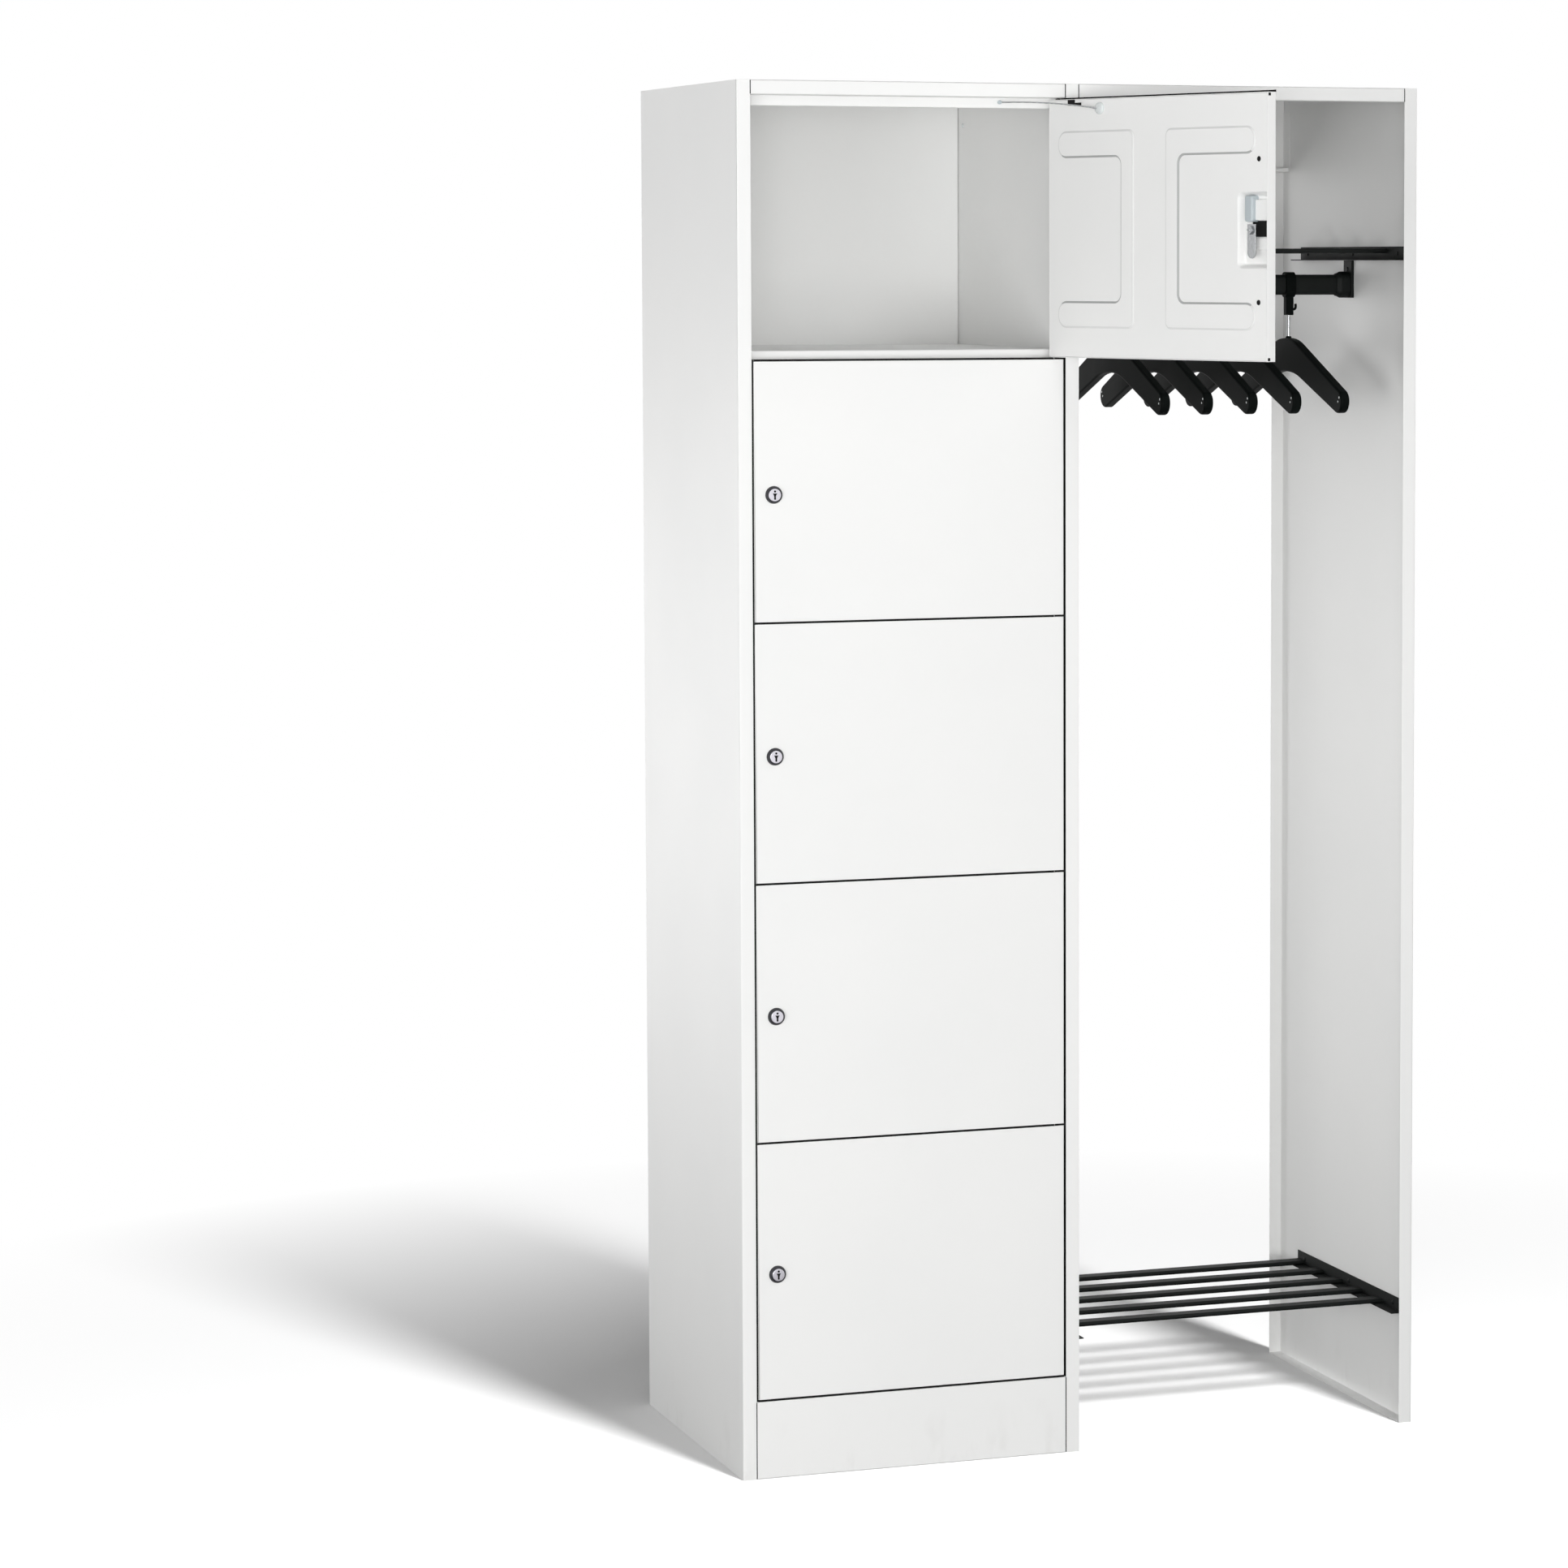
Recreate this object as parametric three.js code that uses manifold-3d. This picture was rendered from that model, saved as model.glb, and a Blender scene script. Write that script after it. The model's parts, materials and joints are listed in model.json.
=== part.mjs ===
// Mudroom locker unit: a column of five lockers beside an open coat bay.
// Folded and powder-coated sheet steel, with black metal racks, rail and hangers.
// Millimetres. X runs right, Y runs back from the front face, Z runs up.
// The origin is on the floor, under the middle of the partition, half way front to back.
import * as THREE from 'three';
import { mergeVertices } from 'three/addons/utils/BufferGeometryUtils.js';
import Module from 'manifold-3d';

const wasm = await Module();
wasm.setup();

// Driving dimensions: carcass
const height = 1950;
const depth = 500;
const lockerWidth = 500;
const coatWidth = 500;
const sheet = 1;
const bendRadius = 2;
const seatGap = 0.3;
const overrun = 2;
const stile = 20;
const headerHeight = 20;
const plinthHeight = 110;
const stileHookDepth = 16;
const backInset = 34;
const backFlange = 20;
const coverFlange = 12;

// Driving dimensions: doors
const doorCount = 5;
const doorThickness = 16;
const doorSeam = 3;
const doorSideGap = 2.5;
const hingeInset = 6.5;
const hingeSetback = 5;
const hingePinRadius = 2.2;
const hingePinReach = 7;
const hingePinClearance = 0.4;
const hingeTabThickness = 1.5;
const hingeTabMargin = 4;
const hingeTabSetback = 1;
const doorOpenDegrees = 110;
const stopGap = 5;
const lipReach = 13;
const lipHem = 12;
const floorReturn = 15;

// Driving dimensions: pressings of the inner door skin
const beadHeight = 2;
const beadArm = 38;
const beadBar = 29;
const beadTop = 44;
const beadBottom = 319;
const beadNearHinge = 20;
const beadNearHingeEnd = 183;
const beadFarFromEdge = 207;
const beadFarEndFromEdge = 23;
const beadCorner = 10;
const pocketWidth = 60;
const pocketHeight = 103;
const bufferRadius = 3;
const bufferFromEdge = 17;
const bufferTop = 89;
const bufferSpacing = 192;
const springNotchFromHinge = 40;
const springNotchWidth = 16;
const springNotchDepth = 9;
const springNotchStep = 14;
const springNotchStepDepth = 4;

// Driving dimensions: door stay cable
const stayRadius = 1;
const stayKnobFromHinge = 82;
const stayKnobDrop = 5;
const stayKnobRadius = 2.5;
const stayKnobReach = 3.6;
const stayDomeFromHinge = 104;
const stayDomeDrop = 14;
const stayDomeRadius = 8.25;
const stayDomeHeight = 4.3;
const stayDomeSeat = 6.2;
const stayDrop = 66;
const stayRise = 3;

// Driving dimensions: lock
const lockFromEdge = 28.5;
const lockBelowMiddle = 4;
const lockRingRadius = 12.5;
const lockRingFrontRadius = 11.6;
const lockRingReach = 5;
const lockBarrelRadius = 9.6;
const lockBarrelClearance = 0.4;
const lockBodyWidth = 40;
const lockBodyHeight = 66;
const lockBodyDepth = 11;
const lockHeadRadius = 9;
const lockHeadReach = 1;
const lockHeadDepth = 3.5;
const lockPlugRadius = 6.5;
const lockPlugClearance = 0.35;
const keySlotWidth = 1.8;
const keySlotHeight = 5;
const keySlotDepth = 4;
const keyHoleRadius = 2;
const camWidth = 16;
const camLength = 38;
const camTail = 8;
const camThickness = 2.4;
const camGap = 0.6;
const camScrewRadius = 4;
const camScrewHeight = 1.4;

// Driving dimensions: racks of the coat bay
const barCount = 5;
const barDepth = 25;
const barHeight = 6.5;
const barPitch = 75;
const barsMiddle = 262;
const hatBarsBelowAngleTop = 3;
const shoeBarsBelowAngleTop = 12.3;
const angleHeight = 20;
const angleWidth = 18;
const angleThickness = 1.5;
const angleFront = 30;
const angleBack = 426;
const shoeRackTop = 176;
const hatShelfDrop = 227;
const rearRailHeight = 112;
const rearRailFlange = 20;
const rearRailEnd = 25;
const rearRailLip = 6;

// Driving dimensions: coat rail and its brackets
const railHeight = 30;
const railDepth = 15;
const railWall = 1.2;
const railDrop = 56;
const railSetback = 240;
const cupWall = 4.5;
const cupLength = 13;
const strapWidth = 30;
const strapThickness = 4;

// Driving dimensions: hangers
const hangerPlaceShares = [0.284, 0.416, 0.554, 0.69, 0.84];
const hangerShoulderShare = 0.1;
const hangerCrownBowShare = 0.2;
const hangerArchBowShare = 0.28;
const hangerLength = 430;
const hangerThickness = 14;
const hangerCrown = 49;
const hangerArm = 37;
const hangerDrop = 108;
const hangerApexDrop = 77;
const hangerTipRadius = 17;
const wireRadius = 2.3;
const wireClearance = 0.35;
const wireSocket = 10;
const gliderWidth = 15;
const gliderWall = 3.5;
const gliderStemWidth = 12;
const gliderStemDepth = 9;
const gliderStemDrop = 45;
const gliderHookRadius = 5;
const gliderHookThickness = 3;
const gliderHookDrop = 33;

// Fineness of the curved faces: counts, not lengths
const bendSteps = 2;
const domeSteps = 3;
const curveSteps = 5;
const roundSides = 18;
const smallSides = 10;
const screwSides = 6;
const loopSteps = 4;
const cableSides = 8;
const cableSteps = 26;

// Places that follow from the sizes above
const width = lockerWidth + coatWidth + stile;
const partitionLeft = lockerWidth - stile;
const partitionMiddle = lockerWidth - stile / 2;
const coatLeft = lockerWidth;
const coatRight = width - stile;
const rightSkin = width - sheet;
const headerBottom = height - headerHeight;
const lipFront = doorThickness + stopGap;
const backFront = depth - backInset;
const hatShelfTop = height - hatShelfDrop;
const railLevel = hatShelfTop - railDrop;
const gliderStemBottom = railLevel - gliderStemDrop;
const gliderHookLevel = railLevel - gliderHookDrop;
const hangerApexLevel = railLevel - hangerApexDrop;
const doorLeft = stile + doorSideGap;
const doorRight = partitionLeft - doorSideGap;
const doorHeight = (headerBottom - plinthHeight - doorSeam * (doorCount + 1)) / doorCount;
const doorPitch = doorHeight + doorSeam;
const lockLevel = doorHeight / 2 - lockBelowMiddle;
const hingeX = doorRight - hingeInset;
const hingeY = hingeSetback;
const seamLevel = (seam) => headerBottom - doorSeam / 2 - seam * doorPitch;
const doorBottom = (door) => seamLevel(door) + doorSeam / 2;

// Finishes
const finishes = {
  coat: { color: 0xeeeeec, roughness: 0.45, metalness: 0 },
  black: { color: 0x1b1e1d, roughness: 0.5, metalness: 0.1 },
  lockBlack: { color: 0x161616, roughness: 0.35, metalness: 0 },
  chrome: { color: 0xc9c9c9, roughness: 0.2, metalness: 1 },
  hangerBlack: { color: 0x1d201f, roughness: 0.55, metalness: 0 },
  cable: { color: 0xa9adab, roughness: 0.5, metalness: 0.4 },
};

// Solids: joining and cutting closed meshes
function toSolid(geometry) {
  const bare = geometry.clone();
  bare.deleteAttribute('normal');
  bare.deleteAttribute('uv');
  const merged = mergeVertices(bare);
  const vertProperties = new Float32Array(merged.attributes.position.array);
  const triVerts = new Uint32Array(merged.index.array);
  return new wasm.Manifold(new wasm.Mesh({ numProp: 3, vertProperties, triVerts }));
}

function toGeometry(solid) {
  const mesh = solid.getMesh();
  const geometry = new THREE.BufferGeometry();
  const positions = new Float32Array(mesh.vertProperties);
  geometry.setAttribute('position', new THREE.BufferAttribute(positions, 3));
  geometry.setIndex(new THREE.BufferAttribute(new Uint32Array(mesh.triVerts), 1));
  geometry.computeVertexNormals();
  return geometry;
}

function join(...geometries) {
  return toGeometry(geometries.map(toSolid).reduce((all, one) => all.add(one)));
}

function cut(geometry, ...tools) {
  return toGeometry(tools.map(toSolid).reduce((rest, tool) => rest.subtract(tool), toSolid(geometry)));
}

const axisX = new THREE.Vector3(1, 0, 0);
const axisY = new THREE.Vector3(0, 1, 0);
const axisZ = new THREE.Vector3(0, 0, 1);

// Plain shapes
function block([x0, x1], [y0, y1], [z0, z1]) {
  const box = new THREE.BoxGeometry(x1 - x0, y1 - y0, z1 - z0);
  return box.translate((x0 + x1) / 2, (y0 + y1) / 2, (z0 + z1) / 2);
}

function roundBar(radius, from, to, sides = roundSides, endRadius = radius) {
  const span = new THREE.Vector3().subVectors(to, from);
  const bar = new THREE.CylinderGeometry(endRadius, radius, span.length(), sides);
  const turn = new THREE.Quaternion().setFromUnitVectors(axisY, span.clone().normalize());
  const middle = new THREE.Vector3().addVectors(from, to).multiplyScalar(1 / 2);
  return bar.applyQuaternion(turn).translate(middle.x, middle.y, middle.z);
}

// Extrusions: an outline drawn in two axes, swept along the third
function sweep(outline, length) {
  const options = { depth: length, bevelEnabled: false, curveSegments: curveSteps };
  return new THREE.ExtrudeGeometry(outline, options);
}

// The outline is drawn in Y and Z
function alongX(outline, x0, x1) {
  const turn = new THREE.Matrix4().makeBasis(axisY, axisZ, axisX);
  return sweep(outline, x1 - x0).applyMatrix4(turn).translate(x0, 0, 0);
}

// The outline is drawn in X and Z
function alongY(outline, y0, y1) {
  const turn = new THREE.Matrix4().makeBasis(axisX, axisZ, axisY.clone().negate());
  return sweep(outline, y1 - y0).applyMatrix4(turn).translate(0, y1, 0);
}

// The outline is drawn in X and Y
function alongZ(outline, z0, z1) {
  return sweep(outline, z1 - z0).translate(0, 0, z0);
}

// Outline of a sheet folded along a line of points, which is its middle line
function foldedSheet(points, thickness = sheet, radius = bendRadius) {
  const line = points.map(([a, b]) => new THREE.Vector2(a, b));
  const middleRadius = radius - thickness / 2;
  const left = [];
  const right = [];
  const put = (point, normal) => {
    left.push(point.clone().addScaledVector(normal, thickness / 2));
    right.push(point.clone().addScaledVector(normal, -thickness / 2));
  };
  const direction = (i) => line[i + 1].clone().sub(line[i]).normalize();
  const leftOf = (d) => new THREE.Vector2(-d.y, d.x);
  put(line[0], leftOf(direction(0)));
  for (let i = 1; i < line.length - 1; i += 1) {
    const before = direction(i - 1);
    const after = direction(i);
    const side = Math.sign(before.cross(after));
    const turn = Math.acos(before.dot(after));
    const normal = leftOf(before);
    const centre = line[i].clone()
      .addScaledVector(before, -middleRadius * Math.tan(turn / 2))
      .addScaledVector(normal, side * middleRadius);
    for (let k = 0; k <= bendSteps; k += 1) {
      const turned = normal.clone().rotateAround(new THREE.Vector2(0, 0), side * turn * k / bendSteps);
      put(centre.clone().addScaledVector(turned, -side * middleRadius), turned);
    }
  }
  put(line[line.length - 1], leftOf(direction(line.length - 2)));
  return new THREE.Shape([...left, ...right.reverse()]);
}

// Outline through corners, each given as its two coordinates and its fillet radius
function filleted(corners) {
  const outline = [];
  corners.forEach(([a, b, radius], i) => {
    const corner = new THREE.Vector2(a, b);
    if (radius === 0) {
      outline.push(corner);
      return;
    }
    const last = corners[(i + corners.length - 1) % corners.length];
    const next = corners[(i + 1) % corners.length];
    const back = new THREE.Vector2(last[0], last[1]).sub(corner).normalize();
    const ahead = new THREE.Vector2(next[0], next[1]).sub(corner).normalize();
    const middle = corner.clone().addScaledVector(back, radius).addScaledVector(ahead, radius);
    for (let k = 0; k <= bendSteps; k += 1) {
      const turn = Math.PI / 2 * k / bendSteps;
      outline.push(middle.clone()
        .addScaledVector(ahead, -radius * Math.cos(turn))
        .addScaledVector(back, -radius * Math.sin(turn)));
    }
  });
  return new THREE.Shape(outline);
}

// Stadium outline: two half circles joined by straight sides, drawn upright around a centre
function stadium(a, b, breadth, tall) {
  const radius = breadth / 2;
  const reach = tall / 2 - radius;
  const outline = new THREE.Shape();
  outline.absarc(a, b + reach, radius, 0, Math.PI, false);
  outline.absarc(a, b - reach, radius, Math.PI, 2 * Math.PI, false);
  outline.closePath();
  return outline;
}

// The model: one group, shifted so that the origin is under the partition's middle
const unit = new THREE.Group();
unit.position.set(-partitionMiddle, -depth / 2, 0);

function place(name, geometry, finish, parent = unit) {
  const mesh = new THREE.Mesh(geometry, new THREE.MeshStandardMaterial(finishes[finish]));
  mesh.name = name;
  parent.add(mesh);
  return mesh;
}

// Side panels: pans whose front return is the stile, hooked back where a lock cam catches it
function sidePan(skin, inwards, hook) {
  const at = (distance) => skin + inwards * distance;
  const innerBend = bendRadius - sheet;
  const outer = filleted([
    [at(0), 0, bendRadius],
    [at(stile), 0, 0],
    [at(stile), depth, 0],
    [at(0), depth, bendRadius],
  ]);
  const hookLine = hook ? [[at(stile - sheet), sheet, 0], [at(stile - sheet), stileHookDepth, 0]] : [];
  const mouth = hook ? stileHookDepth : sheet;
  const room = filleted([
    [at(sheet), sheet, innerBend],
    ...hookLine,
    [at(stile + overrun), mouth, 0],
    [at(stile + overrun), depth - sheet, 0],
    [at(sheet), depth - sheet, innerBend],
  ]);
  return cut(alongZ(outer, 0, height), alongZ(room, sheet, height - sheet));
}

function makeSidePanels() {
  place('side_panel_left', sidePan(0, 1, true), 'coat');
  place('side_panel_right', sidePan(width, -1, false), 'coat');
}

// Partition: a pan that faces the lockers, closed by a cover on the coat side
function makePartition() {
  place('partition_panel', sidePan(partitionLeft, 1, false), 'coat');
  const face = coatLeft - seatGap - sheet / 2;
  const edge = sheet + seatGap + sheet / 2;
  const cover = foldedSheet([
    [face - coverFlange, edge],
    [face, edge],
    [face, depth - edge],
    [face - coverFlange, depth - edge],
  ]);
  place('partition_cover', alongZ(cover, sheet + seatGap, height - sheet - seatGap), 'coat');
}

// Hinge pin and stay knob that the header and the floors carry
function hingePin(z0, z1) {
  const from = new THREE.Vector3(hingeX, hingeY, z0);
  const to = new THREE.Vector3(hingeX, hingeY, z1);
  return roundBar(hingePinRadius, from, to, smallSides);
}

function stayKnob(seam) {
  const x = hingeX - stayKnobFromHinge;
  const z = seamLevel(seam) - stayKnobDrop;
  const from = new THREE.Vector3(x, lipFront + sheet / 2, z);
  const to = new THREE.Vector3(x, lipFront - stayKnobReach, z);
  return roundBar(stayKnobRadius, from, to, smallSides);
}

// Top panels: the header is their front fold, and the locker's has a stop lip behind the door
function makeTopPanels() {
  const half = sheet / 2;
  const rear = [[depth - half, headerBottom], [depth - half, height - half]];
  const front = [[half, height - half], [half, headerBottom + half]];
  const lip = [
    [lipFront + half, headerBottom + half],
    [lipFront + half, seamLevel(0) - lipReach],
    [lipFront + lipHem, seamLevel(0) - lipReach],
  ];
  const lockerTop = join(
    alongX(foldedSheet([...rear, ...front, ...lip]), stile + seatGap, partitionLeft - seatGap),
    hingePin(headerBottom + half, seamLevel(0) - doorSeam / 2 - hingePinReach),
    stayKnob(0),
  );
  place('top_panel_locker', lockerTop, 'coat');
  const coatFold = [[stile, headerBottom + half]];
  const coatProfile = foldedSheet([...rear, ...front, ...coatFold]);
  const coatTop = alongX(coatProfile, coatLeft + seatGap, coatRight - seatGap);
  place('top_panel_coat', coatTop, 'coat');
}

function makeBackAndPlinth() {
  const half = sheet / 2;
  const left = sheet + seatGap + half;
  const right = partitionLeft - seatGap - half;
  const back = foldedSheet([
    [left, backFront + backFlange],
    [left, backFront + half],
    [right, backFront + half],
    [right, backFront + backFlange],
  ]);
  place('back_panel', alongZ(back, seamLevel(doorCount) - lipReach, height - sheet - seatGap), 'coat');
  const plinth = foldedSheet([
    [stile, half],
    [half, half],
    [half, plinthHeight - half],
    [lipFront - seatGap, plinthHeight - half],
  ]);
  const pin = hingePin(plinthHeight - half, seamLevel(doorCount) + doorSeam / 2 + hingePinReach);
  const front = alongX(plinth, stile + seatGap, partitionLeft - seatGap);
  place('plinth_panel', join(front, pin), 'coat');
}

// Floors of the compartments, with a stop lip in front and a hinge tab in the seam between doors
function makeFloor(seam) {
  const half = sheet / 2;
  const level = seamLevel(seam);
  const rear = backFront - seatGap - half;
  const profile = foldedSheet([
    [rear, level + lipReach - floorReturn],
    [rear, level + lipReach - half],
    [lipFront + half, level + lipReach - half],
    [lipFront + half, level - lipReach],
    [lipFront + lipHem, level - lipReach],
  ]);
  const plate = alongX(profile, sheet + seatGap, partitionLeft - seatGap);
  if (seam === doorCount) return plate;
  const tab = block(
    [hingeX - hingePinRadius - hingeTabMargin, partitionLeft - 2 * seatGap],
    [hingeTabSetback, lipFront + half],
    [level - hingeTabThickness / 2, level + hingeTabThickness / 2],
  );
  const reach = doorSeam / 2 + hingePinReach;
  return join(plate, tab, hingePin(level - reach, level + reach), stayKnob(seam));
}

// Door pan: a tray that opens backwards, with holes for the hinge pins and the lock
function makeDoorPan() {
  const innerBend = bendRadius - sheet;
  const outer = filleted([
    [doorLeft, 0, bendRadius],
    [doorRight, 0, bendRadius],
    [doorRight, doorThickness, 0],
    [doorLeft, doorThickness, 0],
  ]);
  const room = filleted([
    [doorLeft + sheet, sheet, innerBend],
    [doorRight - sheet, sheet, innerBend],
    [doorRight - sheet, doorThickness + overrun, 0],
    [doorLeft + sheet, doorThickness + overrun, 0],
  ]);
  const tray = alongZ(outer, 0, doorHeight);
  const pinHole = roundBar(
    hingePinRadius + hingePinClearance,
    new THREE.Vector3(hingeX, hingeY, -overrun),
    new THREE.Vector3(hingeX, hingeY, doorHeight + overrun),
    smallSides,
  );
  const lockHole = roundBar(
    lockBarrelRadius + lockBarrelClearance,
    new THREE.Vector3(doorLeft + lockFromEdge, -overrun, lockLevel),
    new THREE.Vector3(doorLeft + lockFromEdge, sheet + overrun, lockLevel),
  );
  return cut(tray, alongZ(room, sheet, doorHeight - sheet), pinHole, lockHole);
}

// A C-shaped pressing whose arms point towards armEnd and end round
function beadOutline(armEnd, barEdge) {
  const towards = Math.sign(armEnd - barEdge);
  const top = doorHeight - beadTop;
  const bottom = doorHeight - beadBottom;
  const round = beadArm / 2;
  const tip = armEnd - towards * round;
  const inner = barEdge + towards * beadBar;
  const turn = towards * beadCorner;
  const armFoot = top - beadArm;
  const armTop = bottom + beadArm;
  const outline = new THREE.Shape();
  outline.moveTo(tip, top);
  outline.lineTo(barEdge + turn, top);
  outline.quadraticCurveTo(barEdge, top, barEdge, top - beadCorner);
  outline.lineTo(barEdge, bottom + beadCorner);
  outline.quadraticCurveTo(barEdge, bottom, barEdge + turn, bottom);
  outline.lineTo(tip, bottom);
  outline.absarc(tip, bottom + round, round, -Math.PI / 2, Math.PI / 2, towards < 0);
  outline.lineTo(inner + turn, armTop);
  outline.quadraticCurveTo(inner, armTop, inner, armTop + beadCorner);
  outline.lineTo(inner, armFoot - beadCorner);
  outline.quadraticCurveTo(inner, armFoot, inner + turn, armFoot);
  outline.lineTo(tip, armFoot);
  outline.absarc(tip, top - round, round, -Math.PI / 2, Math.PI / 2, towards < 0);
  return outline;
}

// The dome that holds the stay cable on the inner door skin
function stayDome() {
  const arc = [];
  for (let k = 0; k <= domeSteps; k += 1) {
    const angle = Math.PI / 2 * k / domeSteps;
    arc.push(new THREE.Vector2(stayDomeRadius * Math.cos(angle), stayDomeHeight * Math.sin(angle)));
  }
  arc[arc.length - 1].x = 0;
  const foot = -sheet / 2;
  const profile = [new THREE.Vector2(0, foot), new THREE.Vector2(stayDomeRadius, foot), ...arc];
  const dome = new THREE.LatheGeometry(profile, smallSides);
  return dome.translate(hingeX - stayDomeFromHinge, doorThickness, doorHeight - stayDomeDrop);
}

// Inner door skin: flat, with two pressings, a notch for the lock and one for the hinge spring
function makeDoorSkin() {
  const edge = sheet + seatGap;
  const plate = block(
    [doorLeft + edge, doorRight - edge],
    [doorThickness - sheet, doorThickness],
    [edge, doorHeight - edge],
  );
  const fromHinge = (distance) => doorRight - distance;
  const bead = (armEnd, barEdge) => alongY(
    beadOutline(armEnd, barEdge),
    doorThickness - sheet / 2,
    doorThickness + beadHeight,
  );
  const through = [doorThickness - sheet - overrun, doorThickness + overrun];
  const top = doorHeight;
  const pocket = block(
    [doorLeft, doorLeft + pocketWidth],
    through,
    [lockLevel - pocketHeight / 2, lockLevel + pocketHeight / 2],
  );
  const notch = block(
    [fromHinge(springNotchFromHinge + springNotchWidth), fromHinge(springNotchFromHinge)],
    through,
    [top - springNotchDepth, top],
  );
  const notchFoot = block(
    [fromHinge(springNotchFromHinge + springNotchWidth + springNotchStep), fromHinge(springNotchFromHinge)],
    through,
    [top - springNotchDepth, top - springNotchDepth + springNotchStepDepth],
  );
  const buffers = [0, 1].map((k) => {
    const z = top - bufferTop - k * bufferSpacing;
    const from = new THREE.Vector3(doorLeft + bufferFromEdge, through[0], z);
    const to = new THREE.Vector3(doorLeft + bufferFromEdge, through[1], z);
    return roundBar(bufferRadius, from, to, smallSides);
  });
  const pressed = join(
    plate,
    bead(fromHinge(beadNearHinge), fromHinge(beadNearHingeEnd)),
    bead(doorLeft + beadFarEndFromEdge, doorLeft + beadFarFromEdge),
    stayDome(),
  );
  return cut(pressed, pocket, notch, notchFoot, ...buffers);
}

// Lock: a housing that goes through the door, a keyed plug and the cam behind it
function lockBar(radius, y0, y1, sides = roundSides, endRadius = radius) {
  return roundBar(radius, new THREE.Vector3(0, y0, 0), new THREE.Vector3(0, y1, 0), sides, endRadius);
}

function makeLockHousing() {
  const bodyFront = sheet + seatGap;
  const bodyBack = bodyFront + lockBodyDepth;
  const shell = join(
    lockBar(lockRingFrontRadius, -lockRingReach, -seatGap, roundSides, lockRingRadius),
    lockBar(lockBarrelRadius, -2 * seatGap, bodyFront + sheet),
    block(
      [-lockFromEdge + 2 * sheet, lockBodyWidth - lockFromEdge],
      [bodyFront, bodyBack],
      [-lockBodyHeight / 2, lockBodyHeight / 2],
    ),
  );
  const front = -lockRingReach - overrun;
  const headRoom = lockBar(lockHeadRadius + lockPlugClearance, front, -lockRingReach + lockHeadDepth);
  const plugRoom = lockBar(lockPlugRadius + lockPlugClearance, front, bodyBack + overrun);
  return cut(shell, headRoom, plugRoom);
}

function makeLockPlug() {
  const front = -lockRingReach - lockHeadReach;
  const plug = join(
    lockBar(lockHeadRadius, front, -lockRingReach + lockHeadDepth - seatGap),
    lockBar(lockPlugRadius, front + sheet, doorThickness + camGap - seatGap),
  );
  const slotBack = front + keySlotDepth;
  const slot = block(
    [-keySlotWidth / 2, keySlotWidth / 2],
    [front - overrun, slotBack],
    [-keySlotHeight, 0],
  );
  const hole = lockBar(keyHoleRadius, front - overrun, slotBack, smallSides);
  return cut(plug, slot, hole);
}

function makeLockCam() {
  const from = doorThickness + camGap;
  const to = from + camThickness;
  const half = camWidth / 2;
  const plate = new THREE.Shape();
  plate.moveTo(half, camTail);
  plate.lineTo(-half, camTail);
  plate.lineTo(-half, -camLength + half);
  plate.absarc(0, -camLength + half, half, Math.PI, 2 * Math.PI, false);
  return join(
    alongY(plate, from, to),
    lockBar(camScrewRadius, to - seatGap, to + camScrewHeight, screwSides),
  );
}

// Doors: each is a group on its hinge axis, and the top one stands open
function makeDoor(door) {
  const hinge = new THREE.Group();
  hinge.position.set(hingeX, hingeY, doorBottom(door));
  hinge.rotation.z = door === 1 ? THREE.MathUtils.degToRad(doorOpenDegrees) : 0;
  unit.add(hinge);
  const onHinge = (geometry) => geometry.translate(-hingeX, -hingeY, 0);
  place(`door_${door}_pan`, onHinge(makeDoorPan()), 'coat', hinge);
  place(`door_${door}_skin`, onHinge(makeDoorSkin()), 'coat', hinge);
  const lock = new THREE.Group();
  lock.position.set(doorLeft + lockFromEdge - hingeX, -hingeY, lockLevel);
  hinge.add(lock);
  place(`lock_housing_${door}`, makeLockHousing(), 'lockBlack', lock);
  place(`lock_plug_${door}`, makeLockPlug(), 'chrome', lock);
  place(`lock_cam_${door}`, makeLockCam(), 'chrome', lock);
}

// Door stays: a thin cable from the knob on the lip to the dome on the door
function cableAlong(points) {
  const path = new THREE.CatmullRomCurve3(points, false, 'centripetal');
  const ring = new THREE.Shape();
  for (let k = 0; k < cableSides; k += 1) {
    const angle = 2 * Math.PI * k / cableSides;
    const point = [stayRadius * Math.cos(angle), stayRadius * Math.sin(angle)];
    if (k === 0) ring.moveTo(...point);
    else ring.lineTo(...point);
  }
  return new THREE.ExtrudeGeometry(ring, { extrudePath: path, steps: cableSteps, bevelEnabled: false });
}

// The stretched cable of the open door
function openStay() {
  const turn = THREE.MathUtils.degToRad(doorOpenDegrees);
  const between = lipFront - stayKnobReach / 2;
  const knob = new THREE.Vector3(hingeX - stayKnobFromHinge, between, seamLevel(0) - stayKnobDrop);
  const dome = new THREE.Vector3(-stayDomeFromHinge, doorThickness + stayDomeHeight / 2 - hingeY, 0)
    .applyAxisAngle(axisZ, turn)
    .add(new THREE.Vector3(hingeX, hingeY, doorBottom(1) + doorHeight - stayDomeDrop));
  const along = dome.clone().sub(knob).normalize();
  const start = knob.clone().addScaledVector(along, stayKnobRadius + stayRadius + seatGap);
  const end = dome.clone().addScaledVector(along, -stayDomeSeat);
  const middle = start.clone().lerp(end, 1 / 2);
  middle.z += stayRise;
  return cableAlong([start, middle, end]);
}

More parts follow.
